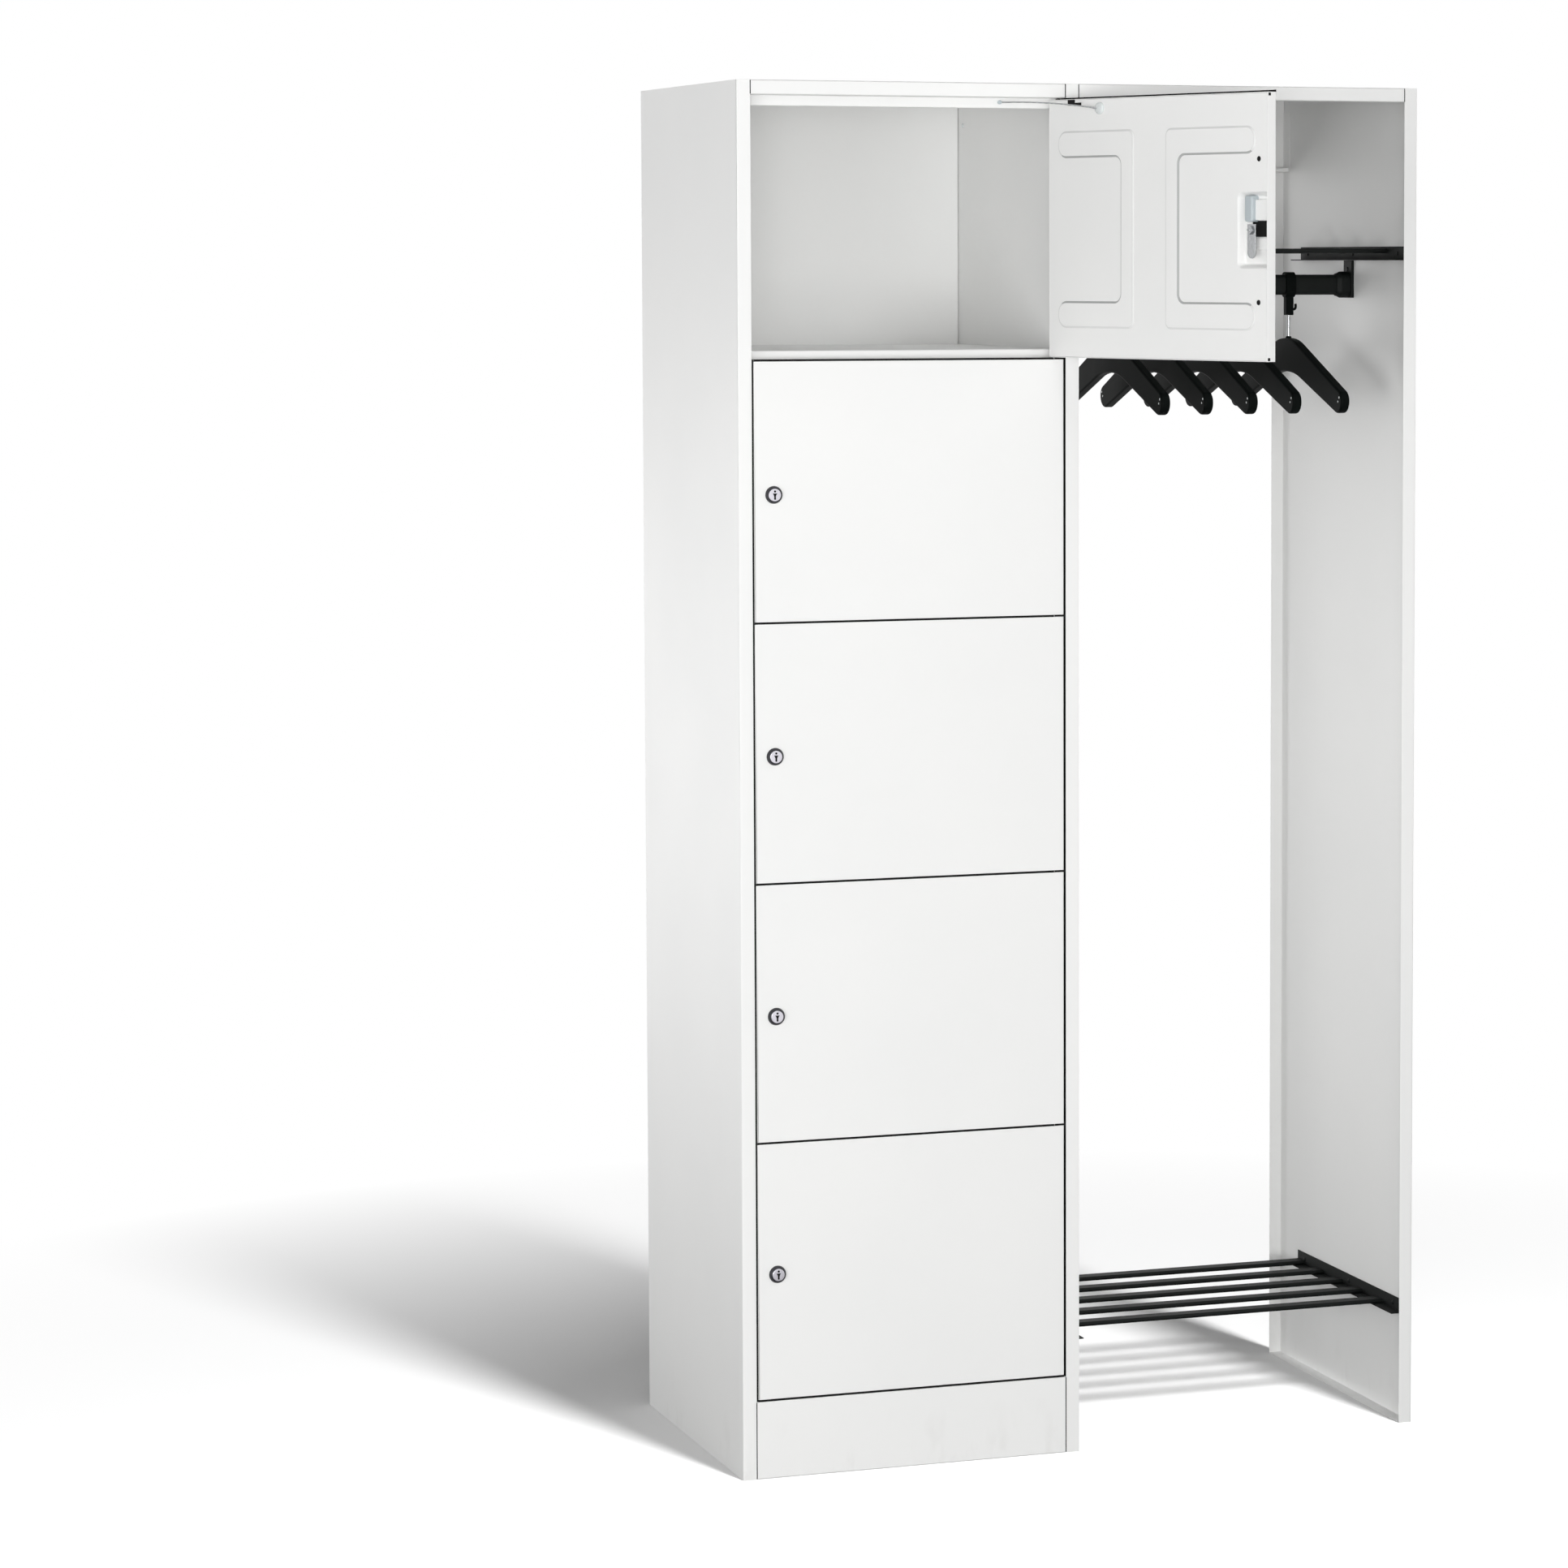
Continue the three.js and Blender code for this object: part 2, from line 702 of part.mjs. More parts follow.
// The slack cable of a closed door hangs in a loop between the door and the lip
function closedStay(seam) {
  const y = (doorThickness + lipFront) / 2;
  const hangs = doorThickness + beadHeight + stayRadius + 2 * seatGap;
  const knobX = hingeX - stayKnobFromHinge;
  const domeX = hingeX - stayDomeFromHinge;
  const domeLevel = doorBottom(seam + 1) + doorHeight - stayDomeDrop;
  const start = new THREE.Vector3(knobX, y, seamLevel(seam) - stayKnobDrop - stayKnobRadius - seatGap);
  const end = new THREE.Vector3(domeX, y, domeLevel - stayDomeRadius);
  const turnRadius = (knobX - domeX) / 2;
  const bottom = start.z - stayDrop + turnRadius;
  const points = [start, new THREE.Vector3(knobX, hangs, (start.z + bottom) / 2)];
  for (let k = 0; k <= loopSteps; k += 1) {
    const angle = -Math.PI * k / loopSteps;
    points.push(new THREE.Vector3(
      (knobX + domeX) / 2 + turnRadius * Math.cos(angle),
      hangs,
      bottom + turnRadius * Math.sin(angle),
    ));
  }
  points.push(new THREE.Vector3(domeX, hangs, (end.z + bottom) / 2), end);
  return cableAlong(points);
}

// Racks: five flat bars between two end angles
function makeRack(top, barsBelowAngleTop) {
  const left = coatLeft;
  const right = rightSkin - seatGap;
  const along = [angleFront, angleBack];
  const upright = [top - angleHeight, top];
  const foot = [top - angleHeight, top - angleHeight + angleThickness];
  const barTop = top - barsBelowAngleTop;
  const pieces = [
    block([left, left + angleThickness], along, upright),
    block([left, left + angleWidth], along, foot),
    block([right - angleThickness, right], along, upright),
    block([right - angleWidth, right], along, foot),
  ];
  for (let bar = 0; bar < barCount; bar += 1) {
    const y = barsMiddle + (bar - (barCount - 1) / 2) * barPitch;
    const radius = barHeight / 2;
    const outline = new THREE.Shape();
    const reach = barDepth / 2 - radius;
    outline.absarc(y + reach, barTop - radius, radius, -Math.PI / 2, Math.PI / 2, false);
    outline.absarc(y - reach, barTop - radius, radius, Math.PI / 2, 3 * Math.PI / 2, false);
    pieces.push(alongX(outline, left + angleThickness / 2, right - angleThickness / 2));
  }
  return join(...pieces);
}

// Rear rail: a channel across the top of the coat bay, with folded ends
function makeRearRail() {
  const half = sheet / 2;
  const back = depth - sheet - 2 * seatGap - half;
  const top = height - sheet - seatGap;
  const bottom = height - rearRailHeight;
  const profile = foldedSheet([
    [back - rearRailFlange, bottom + rearRailLip],
    [back - rearRailFlange, bottom + half],
    [back, bottom + half],
    [back, top],
  ]);
  const left = coatLeft;
  const right = rightSkin - seatGap;
  const ends = [[left, left + sheet], [right - sheet, right]];
  return join(
    alongX(profile, left + half, right - half),
    ...ends.map((end) => block(end, [back - rearRailEnd, back], [bottom + half, headerBottom - sheet])),
  );
}

// Coat rail: an oval tube held in two cups that hang from the hat shelf's end angles
function ovalTube(y, z, breadth, tall, wall) {
  const outline = stadium(y, z, breadth, tall);
  outline.holes.push(stadium(y, z, breadth - 2 * wall, tall - 2 * wall));
  return outline;
}

function makeRailBracket(wallX, inwards) {
  const strapTop = hatShelfTop - angleHeight - seatGap;
  const cupTall = railHeight + 2 * cupWall;
  const strapBottom = railLevel - cupTall / 2;
  const strapFace = wallX + inwards * strapThickness;
  const cupEnd = strapFace + inwards * cupLength;
  const half = strapWidth / 2;
  const strap = block(
    [Math.min(wallX, strapFace), Math.max(wallX, strapFace)],
    [railSetback - half, railSetback + half],
    [strapBottom, strapTop],
  );
  const outer = stadium(railSetback, railLevel, railDepth + 2 * cupWall, cupTall);
  const room = stadium(railSetback, railLevel, railDepth + 2 * seatGap, railHeight + 2 * seatGap);
  const cupFrom = Math.min(strapFace, cupEnd) - sheet / 2;
  const cupTo = Math.max(strapFace, cupEnd) + sheet / 2;
  const boreEnd = cupEnd + inwards * overrun;
  const bore = alongX(room, Math.min(strapFace, boreEnd), Math.max(strapFace, boreEnd));
  return cut(join(strap, alongX(outer, cupFrom, cupTo)), bore);
}

function makeCoatRail() {
  const rightWall = rightSkin - seatGap;
  place('rail_bracket_left', makeRailBracket(coatLeft, 1), 'black');
  place('rail_bracket_right', makeRailBracket(rightWall, -1), 'black');
  const tube = ovalTube(railSetback, railLevel, railDepth, railHeight, railWall);
  const from = coatLeft + strapThickness + seatGap;
  const to = rightWall - strapThickness - seatGap;
  place('coat_rail', alongX(tube, from, to), 'black');
}

// Hanger glider: a ring that slides on the rail, with a stem that holds the hanger's wire
function makeGlider() {
  const clearance = seatGap + gliderWall;
  const ring = ovalTube(0, railLevel, railDepth + 2 * clearance, railHeight + 2 * clearance, gliderWall);
  const half = gliderWidth / 2;
  const ringBottom = railLevel - railHeight / 2 - clearance;
  const stem = block(
    [-gliderStemWidth / 2, gliderStemWidth / 2],
    [-gliderStemDepth / 2, gliderStemDepth / 2],
    [gliderStemBottom, ringBottom + gliderWall / 2],
  );
  const hook = new THREE.Shape();
  const hookX = gliderStemWidth / 2 + gliderHookThickness / 2;
  const inner = gliderHookRadius - gliderHookThickness;
  hook.absarc(hookX, gliderHookLevel, gliderHookRadius, Math.PI, 2 * Math.PI, false);
  hook.lineTo(hookX + inner, gliderHookLevel);
  hook.absarc(hookX, gliderHookLevel, inner, 2 * Math.PI, Math.PI, true);
  const hookHalf = gliderHookThickness / 2;
  const socket = roundBar(
    wireRadius + wireClearance,
    new THREE.Vector3(0, 0, gliderStemBottom - overrun),
    new THREE.Vector3(0, 0, gliderStemBottom + wireSocket + wireClearance),
    smallSides,
  );
  return cut(join(alongX(ring, -half, half), stem, alongY(hook, -hookHalf, hookHalf)), socket);
}

// Hanger: two sloping arms with round tips, and the straight wire above them
function makeHanger() {
  const reach = hangerLength / 2 - hangerTipRadius;
  const tipLevel = hangerApexLevel - hangerDrop + hangerTipRadius;
  const shoulder = hangerLength * hangerShoulderShare;
  const crownFoot = hangerApexLevel - hangerCrown * hangerCrownBowShare;
  const crownTop = hangerApexLevel + hangerCrown * hangerCrownBowShare;
  const archFoot = hangerApexLevel - hangerCrown - hangerArm * hangerArchBowShare;
  const archTop = hangerApexLevel - hangerCrown + hangerArm * hangerArchBowShare;
  const outline = new THREE.Shape();
  outline.moveTo(-shoulder, crownFoot);
  outline.quadraticCurveTo(0, crownTop, shoulder, crownFoot);
  outline.absarc(reach, tipLevel, hangerTipRadius, Math.PI / 4, -3 * Math.PI / 4, true);
  outline.lineTo(shoulder, archFoot);
  outline.quadraticCurveTo(0, archTop, -shoulder, archFoot);
  outline.absarc(-reach, tipLevel, hangerTipRadius, -Math.PI / 4, 3 * Math.PI / 4, true);
  const body = alongX(outline, -hangerThickness / 2, hangerThickness / 2);
  const wire = roundBar(
    wireRadius,
    new THREE.Vector3(0, 0, hangerApexLevel - hangerCrown / 2),
    new THREE.Vector3(0, 0, gliderStemBottom + wireSocket),
    smallSides,
  );
  return join(body, wire);
}

function makeHangers() {
  hangerPlaceShares.forEach((share, index) => {
    const slider = new THREE.Group();
    slider.position.set(coatLeft + share * (coatRight - coatLeft), railSetback, 0);
    unit.add(slider);
    place(`hanger_glider_${index + 1}`, makeGlider(), 'hangerBlack', slider);
    place(`hanger_${index + 1}`, makeHanger(), 'hangerBlack', slider);
  });
}

makeSidePanels();
makePartition();
makeTopPanels();
makeBackAndPlinth();
for (let seam = 1; seam <= doorCount; seam += 1) {
  place(`compartment_floor_${seam}`, makeFloor(seam), 'coat');
}
for (let door = 1; door <= doorCount; door += 1) {
  makeDoor(door);
  place(`stay_cable_${door}`, door === 1 ? openStay() : closedStay(door - 1), 'cable');
}
place('rear_rail', makeRearRail(), 'coat');
place('hat_shelf', makeRack(hatShelfTop, hatBarsBelowAngleTop), 'black');
place('shoe_rack', makeRack(shoeRackTop, shoeBarsBelowAngleTop), 'black');
makeCoatRail();
makeHangers();

export default unit;
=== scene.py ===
import json
from math import cos, pi, radians, sin

import bmesh
import bpy
from bpy.props import FloatProperty, FloatVectorProperty, IntProperty, PointerProperty
from mathutils import Matrix, Vector
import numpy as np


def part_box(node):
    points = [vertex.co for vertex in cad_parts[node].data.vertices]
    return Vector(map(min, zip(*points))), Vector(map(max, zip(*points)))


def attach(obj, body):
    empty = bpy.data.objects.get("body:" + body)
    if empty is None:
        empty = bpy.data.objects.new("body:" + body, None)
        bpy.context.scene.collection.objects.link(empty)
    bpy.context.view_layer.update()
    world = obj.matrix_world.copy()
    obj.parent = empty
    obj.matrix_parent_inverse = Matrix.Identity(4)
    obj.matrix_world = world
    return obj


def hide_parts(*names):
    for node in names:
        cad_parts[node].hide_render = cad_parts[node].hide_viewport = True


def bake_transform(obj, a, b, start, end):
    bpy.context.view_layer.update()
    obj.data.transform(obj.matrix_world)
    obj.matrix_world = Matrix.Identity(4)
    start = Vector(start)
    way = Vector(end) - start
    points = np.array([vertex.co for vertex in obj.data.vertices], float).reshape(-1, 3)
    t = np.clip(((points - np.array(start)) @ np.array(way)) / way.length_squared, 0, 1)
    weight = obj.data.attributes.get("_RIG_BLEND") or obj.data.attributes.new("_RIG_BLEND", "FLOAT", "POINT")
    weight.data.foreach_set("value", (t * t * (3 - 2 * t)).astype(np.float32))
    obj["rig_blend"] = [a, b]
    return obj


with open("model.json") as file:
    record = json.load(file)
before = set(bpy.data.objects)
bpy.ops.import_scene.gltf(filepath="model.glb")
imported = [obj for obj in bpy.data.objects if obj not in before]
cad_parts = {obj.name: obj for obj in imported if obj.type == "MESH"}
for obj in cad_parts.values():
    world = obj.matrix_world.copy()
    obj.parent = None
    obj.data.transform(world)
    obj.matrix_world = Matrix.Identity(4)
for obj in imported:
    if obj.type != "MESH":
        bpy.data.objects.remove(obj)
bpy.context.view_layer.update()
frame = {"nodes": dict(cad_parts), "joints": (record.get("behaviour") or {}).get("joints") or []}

bl_info = {
    "name": "Mudroom Locker Unit",
    "version": (1, 0, 0),
    "blender": (4, 5, 0),
    "location": "3D View > Sidebar > Locker Unit",
    "description": "Dresses a column of sheet-steel lockers and its open coat bay",
    "category": "Object",
}

# The scene and its settings are in metres. Shapes are drawn in millimetres: the carcass from its front
# left foot, a door from its hinge axis and lower edge, and a lock from its middle on the door's face.
mm = 0.001
sharp_angle = radians(50)
hanger_numbers = range(1, 6)
door_numbers = range(1, 6)
open_door = 1
hinge_joints = {joint["name"]: joint for joint in frame["joints"]}
door_low, door_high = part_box("door_2_pan")
door_height = door_high.z - door_low.z
door_top = door_height / mm
door_left, door_right = -448.5, 6.5
door_front, door_back = -5.0, 11.0
door_gap = 3
top_seam = 1928.5
seams = [top_seam - number * (door_top + door_gap) for number in range(len(door_numbers) + 1)]
# How far the dark strips of painted shade in the gaps sit behind the front.
shade_strip_setback = 0.1
partition_middle, half_depth = 490.0, 250.0
stile_left, stile_right = 20.0, 480.0
plinth_top = 110.0
hinge_x = 471.0
knob_x, knob_drop = hinge_x - 82, 5
button_from_hinge, button_drop = 104, 14
notch_right = door_right - 40
pocket_corner = 9.0
lock_x, lock_z = door_left + 28.5, door_top / 2 - 4


def spot(x, y, z):
    """A place on the unit from its cabinet millimetres."""
    return Vector(((x - partition_middle) * mm, (y - half_depth) * mm, z * mm))


def door_place(door):
    """Takes millimetres from the hinge axis and the door's lower edge to the unit."""
    joint = hinge_joints[f"door_{door}_hinge"]
    turn = Matrix.Rotation(radians(-joint["range_deg"][0]), 4, "Z")
    lower_edge = Matrix.Translation((0, 0, -door_height / 2))
    return Matrix.Translation(joint["pos_m"]) @ turn @ lower_edge @ Matrix.Scale(mm, 4)


def lock_place(door):
    """Takes millimetres from the middle of the lock on the door's face to the unit."""
    return door_place(door) @ Matrix.Translation((lock_x, door_front, lock_z))


cabinet_place = Matrix.Translation(spot(0, 0, 0)) @ Matrix.Scale(mm, 4)


def length(name, description, default, most):
    """A length setting, given in millimetres."""
    return FloatProperty(name=name, description=description, default=default * mm, min=0, max=most * mm,
                         unit="LENGTH")


def power(name, description, default):
    return FloatProperty(name=name, description=description, default=default, min=0, unit="POWER")


def color(name, description, default):
    return FloatVectorProperty(name=name, description=description, default=default, subtype="COLOR",
                               min=0, max=1)


class StudioSettings(bpy.types.PropertyGroup):
    camera_place: FloatVectorProperty(
        name="Camera place", description="Where the camera stands",
        default=(-2.396, -6.799, 1.697), subtype="TRANSLATION", unit="LENGTH")
    camera_turn: FloatProperty(
        name="Camera turn", description="How far the camera looks to the right",
        default=radians(20.39), subtype="ANGLE", unit="ROTATION")
    camera_tilt: FloatProperty(
        name="Camera tilt", description="How far the camera looks down",
        default=radians(4.2), subtype="ANGLE", unit="ROTATION")
    lens: FloatProperty(
        name="Lens", description="Focal length on a 36 mm sensor, in millimetres",
        default=113.42, min=20, max=300)
    shift: FloatVectorProperty(
        name="Shift", description="Camera shift across and up",
        default=(-0.2, -0.1), size=2)
    key_power: power("Key lamp", "Power of the high lamp on the right", 130.0)
    floor_power: power("Floor lamp", "Power of the lamp beside it that lights only the floor", 1900.0)
    front_power: power("Front softbox", "Power of the softbox beside the camera", 152.0)
    left_power: power("Left softbox", "Power of the softbox on the left", 42.0)
    rear_power: power("Rear softbox", "Power of the softbox behind the unit on the left", 24.0)
    wall_light: FloatProperty(
        name="Wall light", description="Strength of the light from the studio's pale walls",
        default=1.95, min=0, max=4)
    floor_color: color("Floor", "Colour of the studio floor", (0.14, 0.14, 0.14))
    floor_seen: FloatProperty(
        name="Floor as seen", description="How light the lit floor looks to the camera",
        default=0.91, min=0, max=3)


class SteelSettings(bpy.types.PropertyGroup):
    coat_color: color("Light coat", "Colour of the light powder coat", (0.88, 0.88, 0.87))
    coat_shade: color("Light coat, thicker", "Colour where the coat lies thicker", (0.855, 0.858, 0.85))
    rack_color: color("Dark coat", "Colour of the dark powder coat", (0.0045, 0.0058, 0.0053))
    edge_round: length("Edge rounding", "Radius on the edges of the sheet steel", 0.35, 10)
    rack_round: length("Rack rounding", "Radius on the edges of racks and brackets", 0.4, 10)


class DoorSettings(bpy.types.PropertyGroup):
    bead_height: length("Pressing height", "How far the pressings stand out", 1.7, 10)
    bead_ramp: length("Pressing slope", "Width of the slope round a pressing", 3.0, 20)
    bead_steps: IntProperty(
        name="Slope steps", description="Number of steps in a pressing's slope",
        default=5, min=2, max=12)
    # The strip on the door's top edge is painted shade in the gap above the door.
    strip_height: length("Shade strip height", "Height of the dark strip of painted shade on the door's top edge", 2.8, 3)
    buffer_radius: length("Buffer radius", "Radius of the rubber buffers", 3.6, 10)


class LockSettings(bpy.types.PropertyGroup):
    ring_radius: length("Ring radius", "Radius of the black ring on the door", 12.3, 30)
    face_radius: length("Face radius", "Radius of the metal face with the keyhole", 8.7, 30)
    metal_color: color("Lock metal", "Colour of the face with the keyhole", (0.72, 0.7, 0.76))


class HangerSettings(bpy.types.PropertyGroup):
    edge_round: length("Arm rounding", "Radius along the edges of the arms", 3.0, 7)
    wire_radius: length("Wire radius", "Radius of the wire above the arms", 2.3, 10)
    plastic_color: color("Plastic", "Colour of the hangers and gliders", (0.0028, 0.0038, 0.0035))


class StaySettings(bpy.types.PropertyGroup):
    cable_radius: length("Cable radius", "Radius of the door stay's cable", 1.0, 5)
    rise: length("Rise", "How far the stretched cable arches up", 3.0, 20)
    drop: length("Drop", "How far the slack cable hangs below its knob", 66.0, 150)


class Reading:
    """A number that changes over a surface; sums on it add Math nodes."""

    def __init__(self, wiring, socket):
        self.wiring = wiring
        self.socket = socket

    def worked(self, operation, first, second):
        node = self.wiring.add("ShaderNodeMath", {"operation": operation}, {0: first, 1: second})
        return Reading(self.wiring, node.outputs[0])

    def __add__(self, other):
        return self.worked("ADD", self, other)

    __radd__ = __add__

    def __sub__(self, other):
        return self.worked("SUBTRACT", self, other)

    def __rsub__(self, other):
        return self.worked("SUBTRACT", other, self)

    def __mul__(self, other):
        return self.worked("MULTIPLY", self, other)

    __rmul__ = __mul__

    def between(self, low, high):
        return self.worked("MINIMUM", self.worked("MAXIMUM", self, low), high)

    def stepped(self, start, end):
        return ((self - start) * (1 / (end - start))).between(0.0, 1.0)


class Wiring:
    """The nodes of a material or of the room."""

    def __init__(self, owner, output_kind):
        owner.use_nodes = True
        self.tree = owner.node_tree
        self.tree.nodes.clear()
        self.output = self.add(output_kind)

    def add(self, kind, settings=None, inputs=None):
        node = self.tree.nodes.new(kind)
        for key, value in (settings or {}).items():
            setattr(node, key, value)
        for key, value in (inputs or {}).items():
            self.feed(node.inputs[key], value)
        return node

    def feed(self, socket, value):
        value = value.socket if isinstance(value, Reading) else value
        if isinstance(value, bpy.types.NodeSocket):
            self.tree.links.new(value, socket)
        else:
            socket.default_value = value

    def mixed(self, mask, first, second):
        node = self.add("ShaderNodeMix", {"data_type": "RGBA"}, {0: mask, 6: first, 7: second})
        return node.outputs[2]

    def light_path(self, ray):
        return Reading(self, self.add("ShaderNodeLightPath").outputs[ray])

    def blended(self, mask, first, second):
        return self.add("ShaderNodeMixShader", None, {0: mask, 1: first, 2: second}).outputs[0]


class Finish(Wiring):
    """A material in the making: one surface shader and what feeds it."""

    def __init__(self, name, **constants):
        self.material = bpy.data.materials.new(name)
        super().__init__(self.material, "ShaderNodeOutputMaterial")
        self.surface = self.add("ShaderNodeBsdfPrincipled", None, constants)
        self.feed(self.output.inputs["Surface"], self.surface.outputs[0])
        self.place = self.add("ShaderNodeTexCoord").outputs["Object"]

    def noise(self, scale, detail=2.0, stretch=None):
        place = self.place
        if stretch:
            place = self.add("ShaderNodeMapping", None, {"Vector": place, "Scale": stretch}).outputs[0]
        node = self.add("ShaderNodeTexNoise", None, {"Vector": place, "Scale": scale, "Detail": detail})
        return Reading(self, node.outputs["Fac"])

    def cells(self, scale):
        node = self.add("ShaderNodeTexVoronoi", None, {"Vector": self.place, "Scale": scale})
        return Reading(self, node.outputs["Distance"])

    def height_above_floor(self):
        node = self.add("ShaderNodeSeparateXYZ", None, {0: self.place})
        return Reading(self, node.outputs[2])

    def set(self, name, value):
        self.feed(self.surface.inputs[name], value)

    def bump(self, height, distance, strength):
        node = self.add("ShaderNodeBump", None,
                        {"Height": height, "Distance": distance, "Strength": strength})
        self.set("Normal", node.outputs["Normal"])


def opaque(color):
    return (*color, 1.0)


def light_coat(name="white powder coat", with_painted_shade=False):
    """White coat; the one with painted shade is greyed by painted shade values stored in the mesh."""
    steel = bpy.context.scene.locker_steel
    coat = Finish(name, **{"Specular IOR Level": 0.42})
    clouds = coat.noise(3.2, 3.0)
    body = coat.mixed(clouds.stepped(0.3, 0.7), opaque(steel.coat_color), opaque(steel.coat_shade))
    scuffs = coat.noise(34.0, 4.0, (1.0, 1.0, 0.35)).stepped(0.55, 0.8)
    near_floor = 1.0 - coat.height_above_floor().stepped(0.0, 0.09)
    shown = coat.mixed(scuffs * near_floor * 0.35, body, (0.62, 0.61, 0.59, 1.0))
    if with_painted_shade:
        # Painted shade: the coat is greyed by the mesh's painted shade values on the pressings' slopes.
        painted_shade = coat.add("ShaderNodeAttribute", {"attribute_name": "painted_shade"}).outputs["Fac"]
        shown = coat.mixed(painted_shade, shown, (0.2, 0.21, 0.21, 1.0))
    coat.set("Base Color", shown)
    peel = coat.noise(620.0, 2.0)
    coat.set("Roughness", 0.36 + peel * 0.1 + clouds * 0.06)
    coat.bump(peel + coat.noise(1900.0, 1.0) * 0.3, 0.00012, 0.16)
    return coat.material


def dark_coat():
    steel = bpy.context.scene.locker_steel
    coat = Finish("black powder coat", **{"Specular IOR Level": 0.15})
    grain = coat.noise(1500.0, 2.0)
    dust = coat.noise(14.0, 4.0).stepped(0.45, 0.85)
    dusty = tuple(2.1 * part for part in steel.rack_color)
    coat.set("Base Color", coat.mixed(dust * 0.6, opaque(steel.rack_color), opaque(dusty)))
    coat.set("Roughness", 0.46 + grain * 0.16 + dust * 0.05)
    coat.bump(grain, 0.00018, 0.3)
    return coat.material


def hanger_plastic():
    dark = bpy.context.scene.locker_hanger.plastic_color
    plastic = Finish("moulded black plastic", **{"Specular IOR Level": 0.03})
    grain = plastic.cells(1300.0)
    clouds = plastic.noise(22.0, 3.0)
    pale = tuple(1.7 * part for part in dark)
    plastic.set("Base Color", plastic.mixed(clouds.stepped(0.4, 0.75), opaque(dark), opaque(pale)))
    plastic.set("Roughness", 0.44 + clouds * 0.12)
    plastic.bump(grain, 0.00015, 0.25)
    return plastic.material


def lock_metal():
    shine = bpy.context.scene.locker_lock.metal_color
    dull = tuple(0.82 * part for part in shine)
    return grained("brushed lock metal", dull, shine, 1800.0, (0.2, 0.22), (0.00006, 0.3),
                   (1.0, 1.0, 0.05), Metallic=1.0)


def cable_steel():
    strand = Finish("grey coated wire rope", Metallic=0.35)
    lay = strand.add("ShaderNodeTexWave", {"wave_type": "BANDS", "bands_direction": "DIAGONAL"},
                     {"Vector": strand.place, "Scale": 520.0, "Distortion": 1.2})
    twist = Reading(strand, lay.outputs["Fac"])
    strand.set("Base Color", strand.mixed(twist, (0.23, 0.24, 0.24, 1), (0.46, 0.48, 0.48, 1)))
    strand.set("Roughness", 0.4 + twist * 0.15)
    strand.bump(twist, 0.00015, 0.5)
    return strand.material


def grained(name, low, high, scale, rough, relief, stretch=None, **constants):
    """A finish whose colour, roughness (base, gain) and relief (distance, strength) follow one noise."""
    made = Finish(name, **constants)
    grain = made.noise(scale, 2.0, stretch)
    made.set("Base Color", made.mixed(grain, opaque(low), opaque(high)))
    made.set("Roughness", rough[0] + grain * rough[1])
    made.bump(grain, *relief)
    return made.material


# Each finish: the record's slot that it stands for, and what makes it.
finishes = {
    "light coat": ("white_coat", light_coat),
    # The inner skins: white coat with painted shade on the pressings' slopes.
    "pressed coat with painted shade": ("white_coat", lambda: light_coat("pressed powder coat with painted shade", True)),
    "dark coat": ("black_coat", dark_coat),
    "hanger plastic": ("hanger_plastic", hanger_plastic),
    "lock metal": ("lock_chrome", lock_metal),
    "cable": ("steel_cable", cable_steel),
    "lock black": ("lock_black", lambda: grained(
        "black lock ring", (0.008, 0.008, 0.012), (0.017, 0.017, 0.023), 900.0,
        (0.3, 0.16), (0.00008, 0.15))),
    "wire": ("lock_chrome", lambda: grained(
        "bright steel wire", (0.34, 0.35, 0.36), (0.55, 0.56, 0.57), 900.0,
        (0.14, 0.14), (0.00004, 0.2), (1.0, 1.0, 0.2), Metallic=1.0)),
    # Black rubber for the buffers and bushes; the same black stands as painted shade in the door gaps, the
    # panel joints, the lock case and the keyhole.
    "rubber_and_painted_shade": ("lock_black", lambda: grained(
        "black rubber and painted shade", (0.006, 0.006, 0.006), (0.014, 0.014, 0.014), 1400.0,
        (0.7, 0.15), (0.0001, 0.25), **{"Specular IOR Level": 0.12})),
    "lock case": ("lock_chrome", lambda: grained(
        "pale grey lock case", (0.42, 0.475, 0.50), (0.48, 0.53, 0.555), 700.0,
        (0.38, 0.12), (0.0001, 0.15))),
    "knob": ("white_coat", lambda: grained(
        "white stay knob", (0.64, 0.68, 0.68), (0.72, 0.75, 0.75), 500.0,
        (0.22, 0.1), (0.00006, 0.1))),
}
finishes_made = {}


def finish(name):
    """The material of that name, made the first time it is asked for."""
    if name not in finishes_made:
        finishes_made[name] = finishes[name][1]()
    return finishes_made[name]


def near(first, second):
    return abs(first - second) < 0.01


def linked_edges(verts):
    return list(dict.fromkeys(edge for vert in verts for edge in vert.link_edges))


def bevel(solid, geom, offset, segments, affect="EDGES", clamp_overlap=False):
    bmesh.ops.bevel(solid, geom=geom, offset=offset, offset_type="OFFSET", segments=segments,
                    profile=0.5, affect=affect, clamp_overlap=clamp_overlap, material=-1)


def round_corner(solid, verts, radius, segments=6):
    bevel(solid, verts, radius, segments, "VERTICES")


def block(solid, low, high, rounding=0.0, segments=2):
    """Adds a box between two corners, with its edges rounded."""
    low, high = Vector(low), Vector(high)
    place = Matrix.Translation((low + high) / 2) @ Matrix.Diagonal((*(high - low), 1.0))
    verts = bmesh.ops.create_cube(solid, size=1.0, matrix=place)["verts"]
    if rounding:
        bevel(solid, linked_edges(verts), rounding, segments)


def blocks(*boxes):
    """A solid of boxes: low corner, high corner, rounding and steps of the rounding."""
    solid = bmesh.new()
    for box in boxes:
        block(solid, *box)
    return solid


